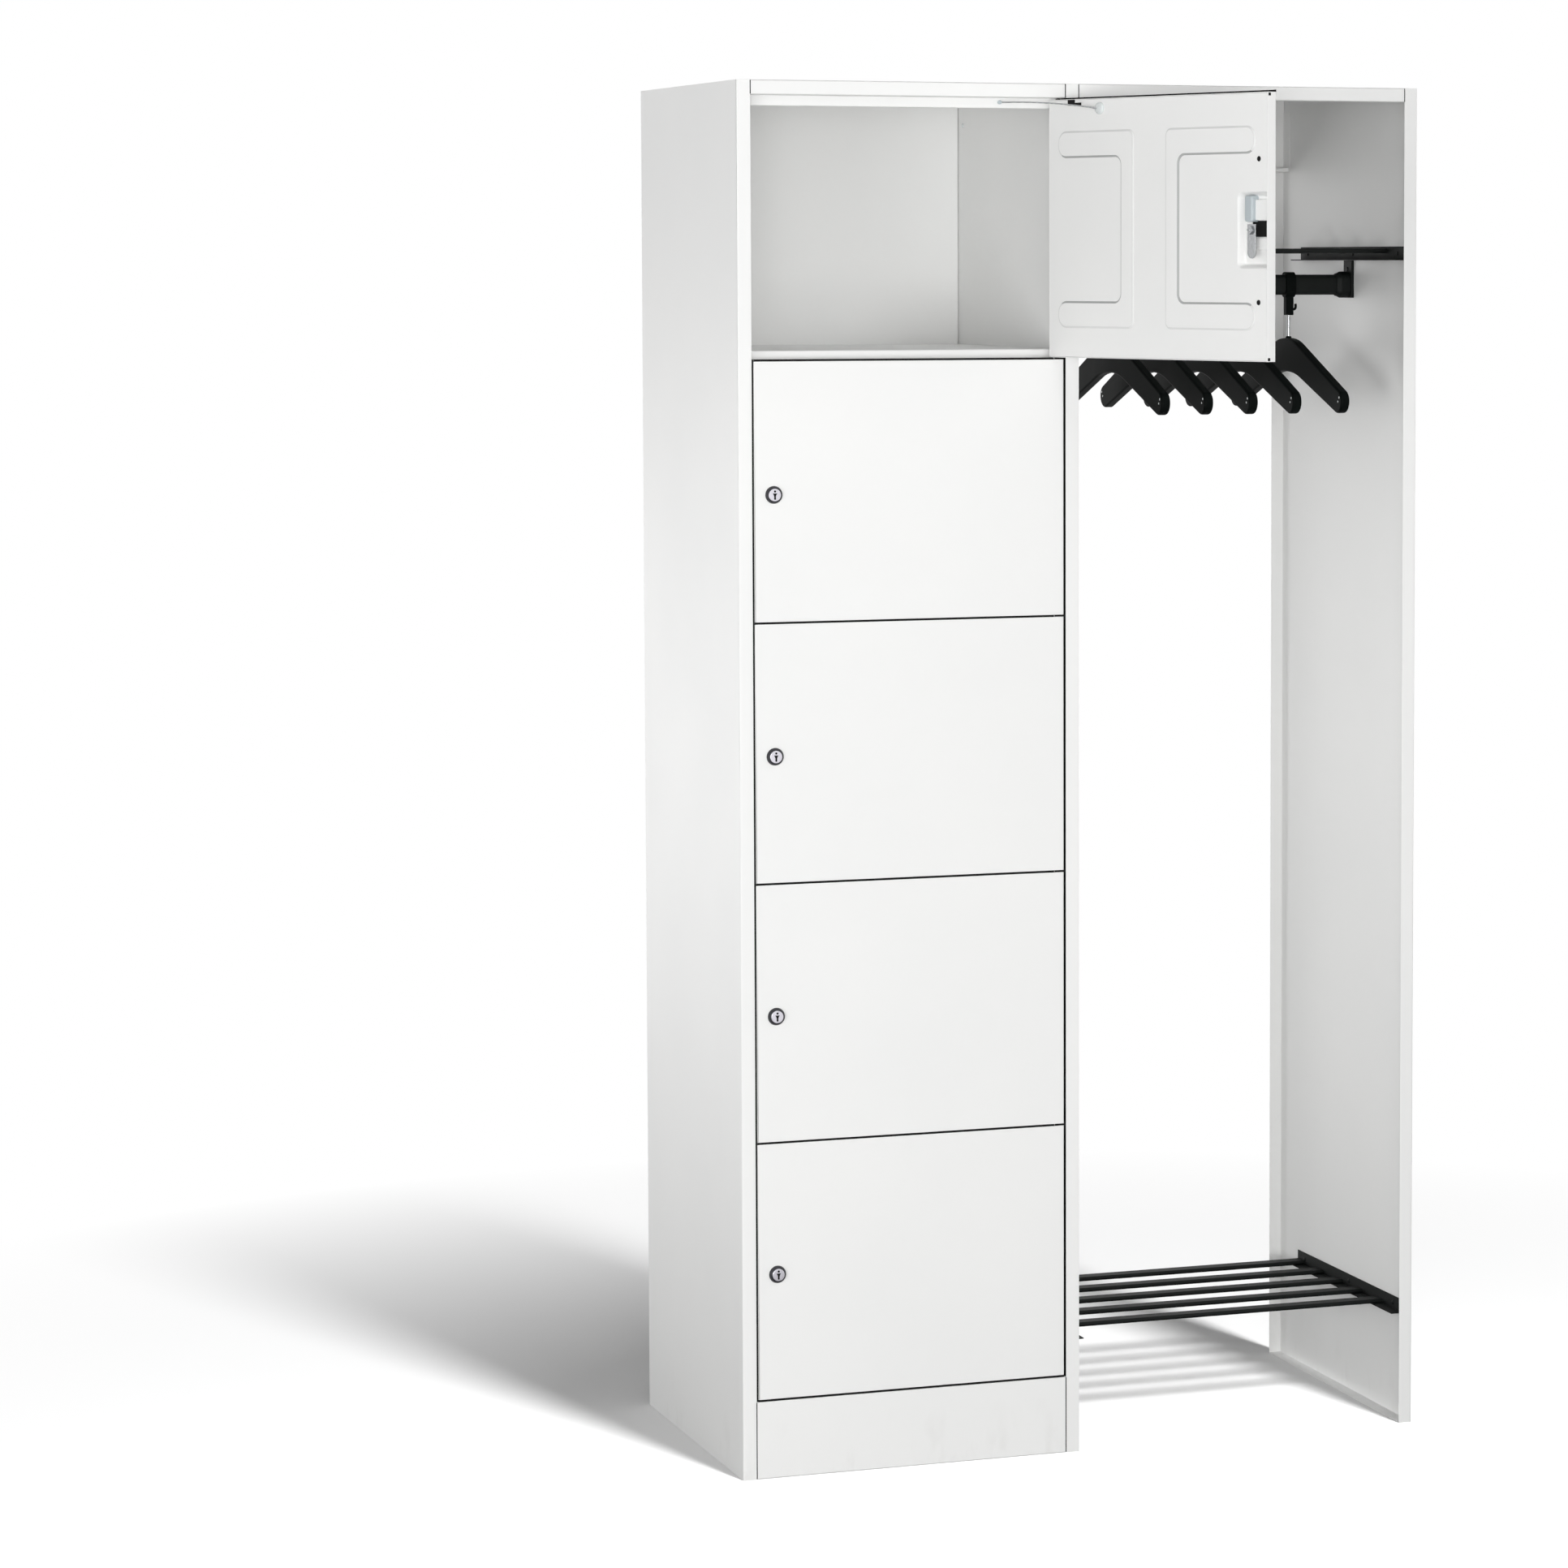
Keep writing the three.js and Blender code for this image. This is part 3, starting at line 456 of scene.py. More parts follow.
def turned(profile, steps, place=None):
    """A solid from a profile of (radius, reach along Y), spun round the Y axis."""
    solid = bmesh.new()
    verts = [solid.verts.new((radius, along, 0.0)) for radius, along in profile]
    edges = [solid.edges.new(pair) for pair in zip(verts, verts[1:])]
    bmesh.ops.spin(solid, geom=verts + edges, cent=(0, 0, 0), axis=(0, 1, 0), dvec=(0, 0, 0),
                   angle=2 * pi, steps=steps, use_merge=True, use_duplicate=False)
    bmesh.ops.remove_doubles(solid, verts=solid.verts, dist=1e-4)
    if place is not None:
        bmesh.ops.transform(solid, matrix=place, verts=solid.verts)
    return solid


def absorb(solid, other):
    """Adds another mesh to this one, and frees it."""
    spare = bpy.data.meshes.new("spare")
    other.to_mesh(spare)
    other.free()
    solid.from_mesh(spare)
    bpy.data.meshes.remove(spare)


def flat_face(solid, corners, plane):
    """A face through corners in X and Z at one depth."""
    return solid.faces.new([solid.verts.new((x, plane, z)) for x, z in corners])


def thicken(solid, faces, reach):
    """Extrudes flat faces into a solid plate."""
    grown = bmesh.ops.extrude_face_region(solid, geom=faces)["geom"]
    bmesh.ops.translate(solid, verts=verts_among(grown), vec=reach)


def verts_among(items):
    return [item for item in items if isinstance(item, bmesh.types.BMVert)]


def edges_among(items):
    return [item for item in items if isinstance(item, bmesh.types.BMEdge)]


def in_scene(name, data):
    """A new object, linked to the scene."""
    made = bpy.data.objects.new(name, data)
    bpy.context.scene.collection.objects.link(made)
    return made


def piece(name, solid, finish_name, body, stands_for=(), place=None, recalculate=True):
    """Makes a mesh object that rides on a body, with its place in its mesh."""
    if place is not None:
        bmesh.ops.transform(solid, matrix=place, verts=solid.verts)
    if recalculate:
        bmesh.ops.recalc_face_normals(solid, faces=solid.faces)
    mesh = bpy.data.meshes.new(name)
    solid.to_mesh(mesh)
    solid.free()
    mesh.materials.append(finish(finish_name))
    mesh.shade_smooth()
    mesh.set_sharp_from_angle(angle=sharp_angle)
    made = in_scene(name, mesh)
    weighted = made.modifiers.new("Even shading", "WEIGHTED_NORMAL")
    weighted.keep_sharp = True
    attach(made, body)
    if stands_for:
        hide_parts(*stands_for)
    return made


def rounded_copy(node, finish_name, body, rounding, least_length=6 * mm, segments=2):
    """A CAD node's own shape with its long edges rounded."""
    solid = bmesh.new()
    solid.from_mesh(frame["nodes"][node].data)
    bmesh.ops.remove_doubles(solid, verts=solid.verts, dist=2e-6)
    bmesh.ops.dissolve_limit(solid, angle_limit=radians(0.5), verts=solid.verts, edges=solid.edges)
    long_sharp = [edge for edge in solid.edges
                  if len(edge.link_faces) == 2
                  and edge.calc_face_angle(0.0) > sharp_angle
                  and edge.calc_length() > least_length]
    bevel(solid, long_sharp, rounding, segments, clamp_overlap=True)
    piece(f"dressed_{node}", solid, finish_name, body, (node,), recalculate=False)


class LOCKER_OT_camera(bpy.types.Operator):
    """Sets up the camera at the photograph's angle"""
    bl_idname = "locker.camera"
    bl_label = "Set up camera"

    def execute(self, context):
        studio = context.scene.locker_studio
        data = bpy.data.cameras.new("camera")
        data.lens = studio.lens
        data.sensor_width = 36.0
        data.shift_x, data.shift_y = studio.shift
        data.clip_end = 100.0
        camera = in_scene("camera", data)
        camera.location = studio.camera_place
        camera.rotation_euler = (pi / 2 - studio.camera_tilt, 0.0, -studio.camera_turn)
        context.scene.camera = camera
        return {"FINISHED"}


def tube(name, path, radius):
    """A round tube along a line of points, as a mesh."""
    line = bpy.data.curves.new(name, "CURVE")
    line.dimensions = "3D"
    line.bevel_depth = radius
    line.bevel_resolution = 3
    line.use_fill_caps = True
    spline = line.splines.new("POLY")
    spline.points.add(len(path) - 1)
    for point, place in zip(spline.points, path):
        point.co = (*place, 1.0)
    drawn = in_scene(f"{name}_line", line)
    mesh = bpy.data.meshes.new_from_object(drawn.evaluated_get(bpy.context.evaluated_depsgraph_get()))
    bpy.data.objects.remove(drawn)
    bpy.data.curves.remove(line)
    mesh.name = name
    return mesh


def open_stay_path(rise):
    """The stretched cable, from the knob on the lip to the button on the door."""
    knob_depth, button_depth = 19.2, 13.15
    knob_reach, button_reach = 3.8, 6.2
    steps = 24
    knob = spot(knob_x, knob_depth, seams[0] - knob_drop)
    button = door_place(open_door) @ Vector((-button_from_hinge, button_depth, door_top - button_drop))
    along = (button - knob).normalized()
    start = knob + along * knob_reach * mm
    end = button - along * button_reach * mm
    shares = [step / steps for step in range(steps + 1)]
    return [start.lerp(end, share) + Vector((0, 0, rise * 4 * share * (1 - share))) for share in shares]


def slack_stay_path(door, drop):
    """The slack cable of a closed door: down, round a half circle and up again."""
    seam = seams[door - 1]
    button_x = hinge_x - button_from_hinge
    near_depth, hanging_depth = 18.5, 19.6
    under_knob, under_button = 2.8, 8.25
    start_z = seam - knob_drop - under_knob
    end_z = seam - door_gap / 2 - button_drop - under_button
    middle_x, radius = (knob_x + button_x) / 2, (knob_x - button_x) / 2
    turn_z = start_z - drop / mm + radius
    runs, round_steps = 6, 10
    eased = [(1 - cos(pi * k / runs)) / 2 for k in range(runs + 1)]
    depth_change = hanging_depth - near_depth
    down = [spot(knob_x, near_depth + depth_change * eased[k], start_z + (turn_z - start_z) * k / runs)
            for k in range(runs)]
    angles = [pi * k / round_steps for k in range(round_steps + 1)]
    round_end = [spot(middle_x + radius * cos(angle), hanging_depth, turn_z - radius * sin(angle))
                 for angle in angles]
    up = [spot(button_x, hanging_depth - depth_change * eased[k], turn_z + (end_z - turn_z) * k / runs)
          for k in range(1, runs + 1)]
    return down + round_end + up


class LOCKER_OT_stays(bpy.types.Operator):
    """Makes the cable that stops each door, stretched on the open one and slack on the others"""
    bl_idname = "locker.stays"
    bl_label = "Make door stays"

    def execute(self, context):
        stay = context.scene.locker_stay
        for door in door_numbers:
            opened = door == open_door
            path = open_stay_path(stay.rise) if opened else slack_stay_path(door, stay.drop)
            mesh = tube(f"door_stay_{door}", path, stay.cable_radius)
            mesh.materials.append(finish("cable"))
            mesh.shade_smooth()
            cable = in_scene(f"door_stay_{door}", mesh)
            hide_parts(f"stay_cable_{door}")
            cable_length = sum((b - a).length for a, b in zip(path, path[1:]))
            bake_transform(cable, "carcass", f"door_{door}", start=path[0], end=path[-1])
            self.add_sleeves(door, path)
        return {"FINISHED"}

    def add_sleeves(self, door, path):
        """A ferrule on each end of the cable, and a cap on the knob it starts from."""
        ends = [("carcass", path[0], path[1] - path[0], "knob_sleeve", -1.6),
                (f"door_{door}", path[-1], path[-2] - path[-1], "button_sleeve", 3.2)]
        for body, place, along, word, tip in ends:
            profile = [(0, -4.2), (1.1, -4.2), (1.4, -3.8), (1.4, tip - 0.4), (1.1, tip), (0, tip)]
            turn = Vector((0, 1, 0)).rotation_difference(along.normalized()).to_matrix().to_4x4()
            piece(f"{word}_{door}", turned(profile, 20), "wire", body,
                  place=Matrix.Translation(place) @ turn @ Matrix.Scale(mm, 4))
        knob = Matrix.Translation((knob_x, 0, seams[door - 1] - knob_drop))
        cap = turned([(0, 16.9), (2.0, 16.95), (2.8, 17.4), (2.8, 20.9), (0, 20.9)], 28, knob)
        piece(f"stay_cap_{door}", cap, "lock case", "carcass", place=cabinet_place)


class LOCKER_OT_carcass(bpy.types.Operator):
    """Dresses the folded panels of the carcass"""
    bl_idname = "locker.carcass"
    bl_label = "Dress carcass"

    def execute(self, context):
        rounding = context.scene.locker_steel.edge_round
        panels = ["side_panel_left", "side_panel_right", "partition_panel", "partition_cover",
                  "top_panel_locker", "top_panel_coat", "back_panel", "plinth_panel", "rear_rail"]
        panels += [f"compartment_floor_{number}" for number in door_numbers]
        for node in panels:
            rounded_copy(node, "light coat", "carcass", rounding)
        return {"FINISHED"}


class LOCKER_OT_painted_gap_shade(bpy.types.Operator):
    """Makes dark strips of painted shade in the gaps round the doors and on the joints between panels"""
    bl_idname = "locker.seals"
    bl_label = "Make painted gap shade"

    def execute(self, context):
        height = context.scene.locker_door.strip_height / mm
        self.painted_shade_strips(height)
        self.painted_seam_lines()
        low, front = door_top - 0.2, door_front + shade_strip_setback
        # Dark strips of painted shade on each door's top edge.
        for door in door_numbers:
            solid = blocks(((door_left + 0.4, front, low), (-8.6, door_front + 1.3, door_top + height), 0.1),
                           ((-34.0, 0.0, low), (-9.5, 3.2, door_top + 2.2), 0.5))
            piece(f"door_top_shade_{door}", solid, "rubber_and_painted_shade", f"door_{door}", place=door_place(door))
        return {"FINISHED"}

    def painted_shade_strips(self, height):
        """The carcass's own dark strips of painted shade: beside the doors, over the plinth and before the
        hinge tabs.
        """
        front, low, high = shade_strip_setback, seams[-1] - 1.0, seams[1] + 1.2
        tab_left, tab_right, half_height = hinge_x - 7.4, hinge_x + 8.4, 1.35
        strips = [((stile_left, front, low), (stile_left + 2.4, 4.4, high), 0.1),
                  ((stile_right - 0.55, front, low), (stile_right, 14.0, high), 0.1),
                  ((stile_left + 2.6, front, plinth_top), (hinge_x + 6.2, 1.3, plinth_top + height), 0.1)]
        for seam in seams[1:-1]:
            strips.append(((tab_left, front, seam - half_height), (tab_right, 0.95, seam + half_height), 0.1))
        piece("painted_shade_strips", blocks(*strips), "rubber_and_painted_shade", "carcass", place=cabinet_place)

    def painted_seam_lines(self):
        """Dark lines of painted shade where the header and the plinth meet the stiles."""
        half_width = 0.7
        header = [(x, 1930.6, 1949.4) for x in (stile_left, stile_right, 500.0, 1000.0)]
        plinth = [(x, 1.0, 109.6) for x in (stile_left, stile_right)]
        solid = blocks(*(((x - half_width, -0.06, low), (x + half_width, 0.3, high))
                         for x, low, high in header + plinth))
        piece("painted_seam_lines", solid, "rubber_and_painted_shade", "carcass", place=cabinet_place)


class LOCKER_OT_racks(bpy.types.Operator):
    """Dresses the hat shelf and the shoe rack"""
    bl_idname = "locker.racks"
    bl_label = "Dress racks"

    def execute(self, context):
        for node in ("hat_shelf", "shoe_rack"):
            rounded_copy(node, "dark coat", "carcass", context.scene.locker_steel.rack_round)
        return {"FINISHED"}


class LOCKER_OT_rail(bpy.types.Operator):
    """Makes the oval coat rail and its cups"""
    bl_idname = "locker.rail"
    bl_label = "Make coat rail"

    def execute(self, context):
        rounding = context.scene.locker_steel.rack_round
        for side in ("left", "right"):
            rounded_copy(f"rail_bracket_{side}", "dark coat", "carcass", rounding, 2 * mm)
        low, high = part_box("coat_rail")
        start, span = low.x / mm, high.x / mm - low.x / mm
        profile = [(6.3, 0.0), (7.2, 0.0), (7.5, 0.3), (7.5, span - 0.3), (7.2, span), (6.3, span),
                   (6.3, 0.0)]
        self.ovals("coat_rail_tube", [(radius, start + along) for radius, along in profile], 0,
                   ("coat_rail",))
        # The sloping mouth of each cup, where the rail goes in.
        mouth = [(7.65, 0.0), (11.4, 0.0), (11.2, 1.0), (9.6, 4.2), (9.1, 6.6), (8.6, 7.0), (7.65, 7.0),
                 (7.65, 0.0)]
        for side, nearest, inwards in (("left", 1, 1), ("right", 0, -1)):
            cup_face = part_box(f"rail_bracket_{side}")[nearest].x
            self.ovals(f"cup_mouth_{side}", [(radius, inwards * along) for radius, along in mouth], cup_face)
        return {"FINISHED"}

    def ovals(self, name, profile, x, stands_for=()):
        """A closed shape through ovals of (radius, reach along X) round the rail's axis."""
        solid = bmesh.new()
        rings = [self.oval(solid, radius, along) for radius, along in profile]
        for first, second in zip(rings, rings[1:]):
            bmesh.ops.bridge_loops(solid, edges=first + second)
        bmesh.ops.remove_doubles(solid, verts=solid.verts, dist=1e-3)
        low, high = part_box("coat_rail")
        middle = (low + high) / 2
        place = Matrix.Translation((x, middle.y, middle.z)) @ Matrix.Scale(mm, 4)
        piece(name, solid, "dark coat", "carcass", stands_for, place=place)

    def oval(self, solid, radius, x):
        """A ring in Y and Z: a circle parted by a straight run."""
        steps, half_run = 48, 7.5
        upright = Matrix.Translation((x, 0, 0)) @ Matrix.Rotation(pi / 2, 4, "Y")
        verts = bmesh.ops.create_circle(solid, cap_ends=False, segments=steps, radius=radius,
                                        matrix=upright @ Matrix.Rotation(pi / steps, 4, "Z"))["verts"]
        for side in (1, -1):
            half = [vert for vert in verts if vert.co.z * side > 0]
            bmesh.ops.translate(solid, verts=half, vec=(0, 0, side * half_run))
        return linked_edges(verts)


class LOCKER_OT_doors(bpy.types.Operator):
    """Makes each door's outer pan, its pressed inner skin and its fittings"""
    bl_idname = "locker.doors"
    bl_label = "Make doors"

    def execute(self, context):
        rounding = context.scene.locker_steel.edge_round
        settings = context.scene.locker_door
        for door in door_numbers:
            rounded_copy(f"door_{door}_pan", "light coat", f"door_{door}", rounding)
            self.inner_skin(settings, door)
            self.fittings(settings, door)
        return {"FINISHED"}

    def inner_skin(self, settings, door):
        """The flat sheet inside the door, open for the lock and for the hinge spring."""
        inset, thickness, pocket_half = 1.3, 1.0, 51.5
        left, right = door_left + inset, door_right - inset
        low, high = inset, door_top - inset
        pocket = door_left + 60
        pocket_low, pocket_high = lock_z - pocket_half, lock_z + pocket_half
        notch_left, notch_step = door_right - 70, door_right - 56
        notch_low, notch_lip = door_top - 9, door_top - 5
        notch = [(notch_right, high), (notch_right, notch_low), (notch_left, notch_low),
                 (notch_left, notch_lip), (notch_step, notch_lip), (notch_step, high)]
        solid = bmesh.new()
        # A value per face for painted shade, set on the pressings' slopes.
        solid.faces.layers.float.new("painted_shade")
        corners = [(left, low), (right, low), (right, high), *notch, (left, high),
                   (left, pocket_high), (pocket, pocket_high), (pocket, pocket_low), (left, pocket_low)]
        sheet = flat_face(solid, corners, door_back)
        deep = [vert for vert in sheet.verts if near(vert.co.x, pocket)]
        outer = [vert for vert in sheet.verts if near(vert.co.x, left) or near(vert.co.x, right)]
        round_corner(solid, deep, pocket_corner)
        round_corner(solid, [vert for vert in outer if vert.is_valid], 1.2, 3)
        thicken(solid, list(solid.faces), (0, -thickness, 0))
        bmesh.ops.recalc_face_normals(solid, faces=solid.faces)
        self.tray(solid, left, pocket, pocket_low, pocket_high)
        self.pressing(solid, settings, door_right - 20, door_right - 183)
        self.pressing(solid, settings, door_left + 23, door_left + 207)
        piece(f"door_{door}_inner_skin", solid, "pressed coat with painted shade", f"door_{door}", (f"door_{door}_skin",),
              place=door_place(door), recalculate=False)

    def largest_face(self, solid, depth):
        """The largest flat face at one depth, turned to look into the locker."""
        flat = [face for face in solid.faces
                if len(face.verts) > 3 and all(abs(vert.co.y - depth) < 0.001 for vert in face.verts)]
        largest = max(flat, key=lambda face: face.calc_area())
        largest.normal_update()
        if largest.normal.y < 0:
            bmesh.ops.reverse_faces(solid, faces=[largest])
            largest.normal_update()
        return largest

    def inset(self, solid, face, thickness, depth):
        return bmesh.ops.inset_region(solid, faces=[face], thickness=thickness, depth=depth,
                                      use_boundary=True, use_even_offset=True)["faces"]

    def tray(self, solid, left, pocket, low, high):
        """The sunk tray round the lock."""
        depth = door_back - 0.5
        face = flat_face(solid, [(left, low), (pocket, low), (pocket, high), (left, high)], depth)
        round_corner(solid, [vert for vert in face.verts if near(vert.co.x, pocket)], pocket_corner)
        face = self.largest_face(solid, depth)
        for inwards, sunk in ((0.6, 0.3), (1.4, 1.6), (1.6, 3.2), (1.4, 3.4), (1.0, 1.2), (1.4, 0.3)):
            self.inset(solid, face, inwards, -sunk)

    def pressing(self, solid, settings, arm_end, bar_edge):
        """A raised C with round arm ends and an eased slope; its slopes carry painted shade, most inside the
        C.
        """
        towards = 1 if arm_end > bar_edge else -1
        top, bottom, arm, bar = door_top - 44, door_top - 319, 38, 29
        painted_shade_inside, painted_shade_outside = 0.7, 0.22
        inner = bar_edge + towards * bar
        depth = door_back - 0.05
        face = flat_face(solid, [(arm_end, top), (bar_edge, top), (bar_edge, bottom), (arm_end, bottom),
                                 (arm_end, bottom + arm), (inner, bottom + arm), (inner, top - arm),
                                 (arm_end, top - arm)], depth)
        tips = [vert for vert in face.verts if near(vert.co.x, arm_end)]
        bends = [vert for vert in face.verts if not near(vert.co.x, arm_end)]
        round_corner(solid, bends, 11.0, 8)
        round_corner(solid, tips, 17.4, 8)
        face = self.largest_face(solid, depth)
        painted_shade = solid.faces.layers.float["painted_shade"]
        steps = settings.bead_steps
        height, ramp = settings.bead_height / mm, settings.bead_ramp / mm
        risen = 0.0
        for step in range(1, steps + 1):
            share = step / steps
            rise = height * share * share * (3 - 2 * share)
            # Painted shade on each slope face: strong inside the C, faint elsewhere.
            for part in self.inset(solid, face, ramp / steps, rise - risen):
                middle = part.calc_center_median()
                beside_bar = abs(middle.x - bar_edge) > bar - 4
                between_arms = bottom + arm - 4 < middle.z < top - arm + 4
                part[painted_shade] = painted_shade_inside if beside_bar and between_arms else painted_shade_outside
            risen = rise

    def fittings(self, settings, door):
        """Buffers, hinge bushes, corner stops, the spring block and the button that holds the stay."""
        place, body = door_place(door), f"door_{door}"
        radius = settings.buffer_radius / mm
        dome = [(0, 1.3), (radius * 0.5, 1.2), (radius * 0.85, 0.8), (radius, 0.2), (radius, -0.8),
                (0, -0.8)]
        bush = [(2.75, 0.0), (3.4, 0.0), (3.6, 0.2), (3.6, 1.1), (3.4, 1.3), (2.75, 1.3), (2.75, 0.0)]
        upright = Matrix.Rotation(pi / 2, 4, "X")
        solid = bmesh.new()
        for z in (door_top - 89, door_top - 281):
            absorb(solid, turned(dome, 24, Matrix.Translation((door_left + 17, door_back, z))))
        for z in (door_top + 0.1, -1.4):
            absorb(solid, turned(bush, 28, Matrix.Translation((0, 0, z)) @ upright))
        for z in (1.2, door_top - 5.2):
            block(solid, (door_left - 0.6, door_back - 5.5, z),
                  (door_left + 0.3, door_back - 1.5, z + 4.0), 0.3)
        block(solid, (notch_right - 15.6, door_back - 3.5, door_top - 8.6),
              (notch_right - 0.4, door_back + 0.2, door_top - 0.6), 0.4)
        block(solid, (notch_right - 29.6, door_back - 3.0, door_top - 8.7),
              (notch_right - 15.0, door_back + 0.1, door_top - 5.2), 0.4)
        piece(f"door_rubbers_{door}", solid, "rubber_and_painted_shade", body, place=place)
        button = [(0, 4.6), (4.3, 4.5), (6.7, 3.9), (8.1, 2.8), (8.5, 1.2), (8.1, -0.5), (0, -0.5)]
        button_place = Matrix.Translation((-button_from_hinge, door_back, door_top - button_drop))
        piece(f"stay_button_{door}", turned(button, 40, button_place), "knob", body, place=place)


class LOCKER_OT_locks(bpy.types.Operator):
    """Makes the locks: ring, keyed face, case and cam"""
    bl_idname = "locker.locks"
    bl_label = "Make locks"

    def execute(self, context):
        settings = context.scene.locker_lock
        for door in door_numbers:
            self.ring(settings, door)
            self.case(door)
            self.face(settings, door)
            rounded_copy(f"lock_cam_{door}", "wire", f"lock_{door}", 0.35 * mm, 1.5 * mm)
        return {"FINISHED"}

    def ring(self, settings, door):
        outer, inner = settings.ring_radius / mm, settings.face_radius / mm + 0.25
        shank, bore = 9.6, inner - 1.6
        profile = [(inner, -3.4), (inner, -4.6), (inner + 0.25, -4.9), (inner + 0.65, -5.0),
                   (outer - 2.2, -4.8), (outer - 1.5, -4.2), (outer - 0.8, -2.9), (outer - 0.3, -1.5),
                   (outer, -0.7), (outer, -0.25), (shank, -0.25), (shank, 2.2), (bore, 2.2), (bore, -3.4),
                   (inner, -3.4)]
        piece(f"lock_ring_{door}", turned(profile, 56), "lock black", f"door_{door}",
              (f"lock_housing_{door}",), place=lock_place(door))

    def case(self, door):
        """Inside the door: the pale case, the cover, a dark block of painted shade in the gap round them, and
        the cam's nut.
        """
        case = blocks(((0.2, 1.4, 11.0), (15.8, 17.8, 46.6), 3.0, 4))
        cover = blocks(((-26.0, 1.4, 13.4), (2.0, 11.2, 41.0), 1.6, 3),
                       ((-26.0, 1.4, -27.0), (12.4, 9.6, -8.6), 4.0, 4))
        # A dark block of painted shade in the gap behind the case, the cover and the cam.
        shade_block = blocks(((-26.0, 1.4, -28.2), (13.4, 6.6, 14.0), 4.0, 4))
        nut = blocks(((-4.4, 19.0, -4.4), (4.4, 22.6, 4.4), 0.8, 3))
        bmesh.ops.rotate(nut, cent=(0, 0, 0), matrix=Matrix.Rotation(radians(38), 3, "Y"), verts=nut.verts)
        absorb(nut, turned([(0, 23.6), (1.7, 23.5), (2.3, 23.0), (2.3, 22.0), (0, 22.0)], 20))
        for word, solid, look in (("case", case, "lock case"), ("cover", cover, "light coat"),
                                  ("painted_case_shade", shade_block, "rubber_and_painted_shade")):
            piece(f"lock_{word}_{door}", solid, look, f"door_{door}", place=lock_place(door))
        piece(f"lock_nut_{door}", nut, "wire", f"lock_{door}", place=lock_place(door))

    def face(self, settings, door):
        """The metal face, with a round hole over a funnel-shaped slot."""
        solid = bmesh.new()
        front, hole_depth = -5.9, 2.4
        size = settings.face_radius / mm - 0.5
        rim = self.circle(solid, 56, size, (0, front, 0))
        hole = self.circle(solid, 20, 1.55, (0, front, 5.0))
        half = [(3.3, 2.2), (2.4, 0.9), (1.55, -0.9), (1.2, -2.6), (1.4, -4.6), (1.2, -6.2)]
        outline = half + [(0.0, -6.7)] + [(-x, z) for x, z in reversed(half)]
        corners = [solid.verts.new((x, front, z)) for x, z in outline]
        slot = [solid.edges.new(pair) for pair in zip(corners, corners[1:] + corners[:1])]
        bmesh.ops.triangle_fill(solid, use_beauty=True, use_dissolve=False, edges=rim + hole + slot)
        for edges in (hole, slot):
            sunk = bmesh.ops.extrude_edge_only(solid, edges=edges)["geom"]
            bmesh.ops.translate(solid, verts=verts_among(sunk), vec=(0, hole_depth, 0))
            bmesh.ops.edgeloop_fill(solid, edges=edges_among(sunk))
        for wider, reach in ((0.36, 0.12), (0.14, 0.34), (0.0, 2.6)):
            grown = bmesh.ops.extrude_edge_only(solid, edges=rim)["geom"]
            rim = edges_among(grown)
            scale = (size + wider) / size
            size += wider
            bmesh.ops.scale(solid, verts=verts_among(grown), vec=(scale, 1, scale))
            bmesh.ops.translate(solid, verts=verts_among(grown), vec=(0, reach, 0))
        bmesh.ops.edgeloop_fill(solid, edges=rim)
        made = piece(f"lock_face_{door}", solid, "lock metal", f"lock_{door}", (f"lock_plug_{door}",),
                     place=lock_place(door))
        # Its second material, black, is painted shade at the bottoms of the keyhole.
        made.data.materials.append(finish("rubber_and_painted_shade"))
        self.paint_shade_in_keyhole(made, lock_place(door), front)

    def circle(self, solid, steps, radius, centre):
        turn = Matrix.Translation(centre) @ Matrix.Rotation(pi / 2, 4, "X")
        return linked_edges(bmesh.ops.create_circle(solid, cap_ends=False, segments=steps, radius=radius,
                                                    matrix=turn)["verts"])

    def paint_shade_in_keyhole(self, made, place, front):
        """Gives the bottoms of the keyhole the second material, black, as painted shade."""
        axis = (place.to_3x3() @ Vector((0, 1, 0))).normalized()
        face_level = (place @ Vector((0, front, 0))).dot(axis)
        for polygon in made.data.polygons:
            sunk = polygon.center.dot(axis) - face_level
            from_middle = polygon.center - place.translation
            away = from_middle - axis * from_middle.dot(axis)
            if sunk > 1.0 * mm and away.length < 7.6 * mm:
                polygon.material_index = 1


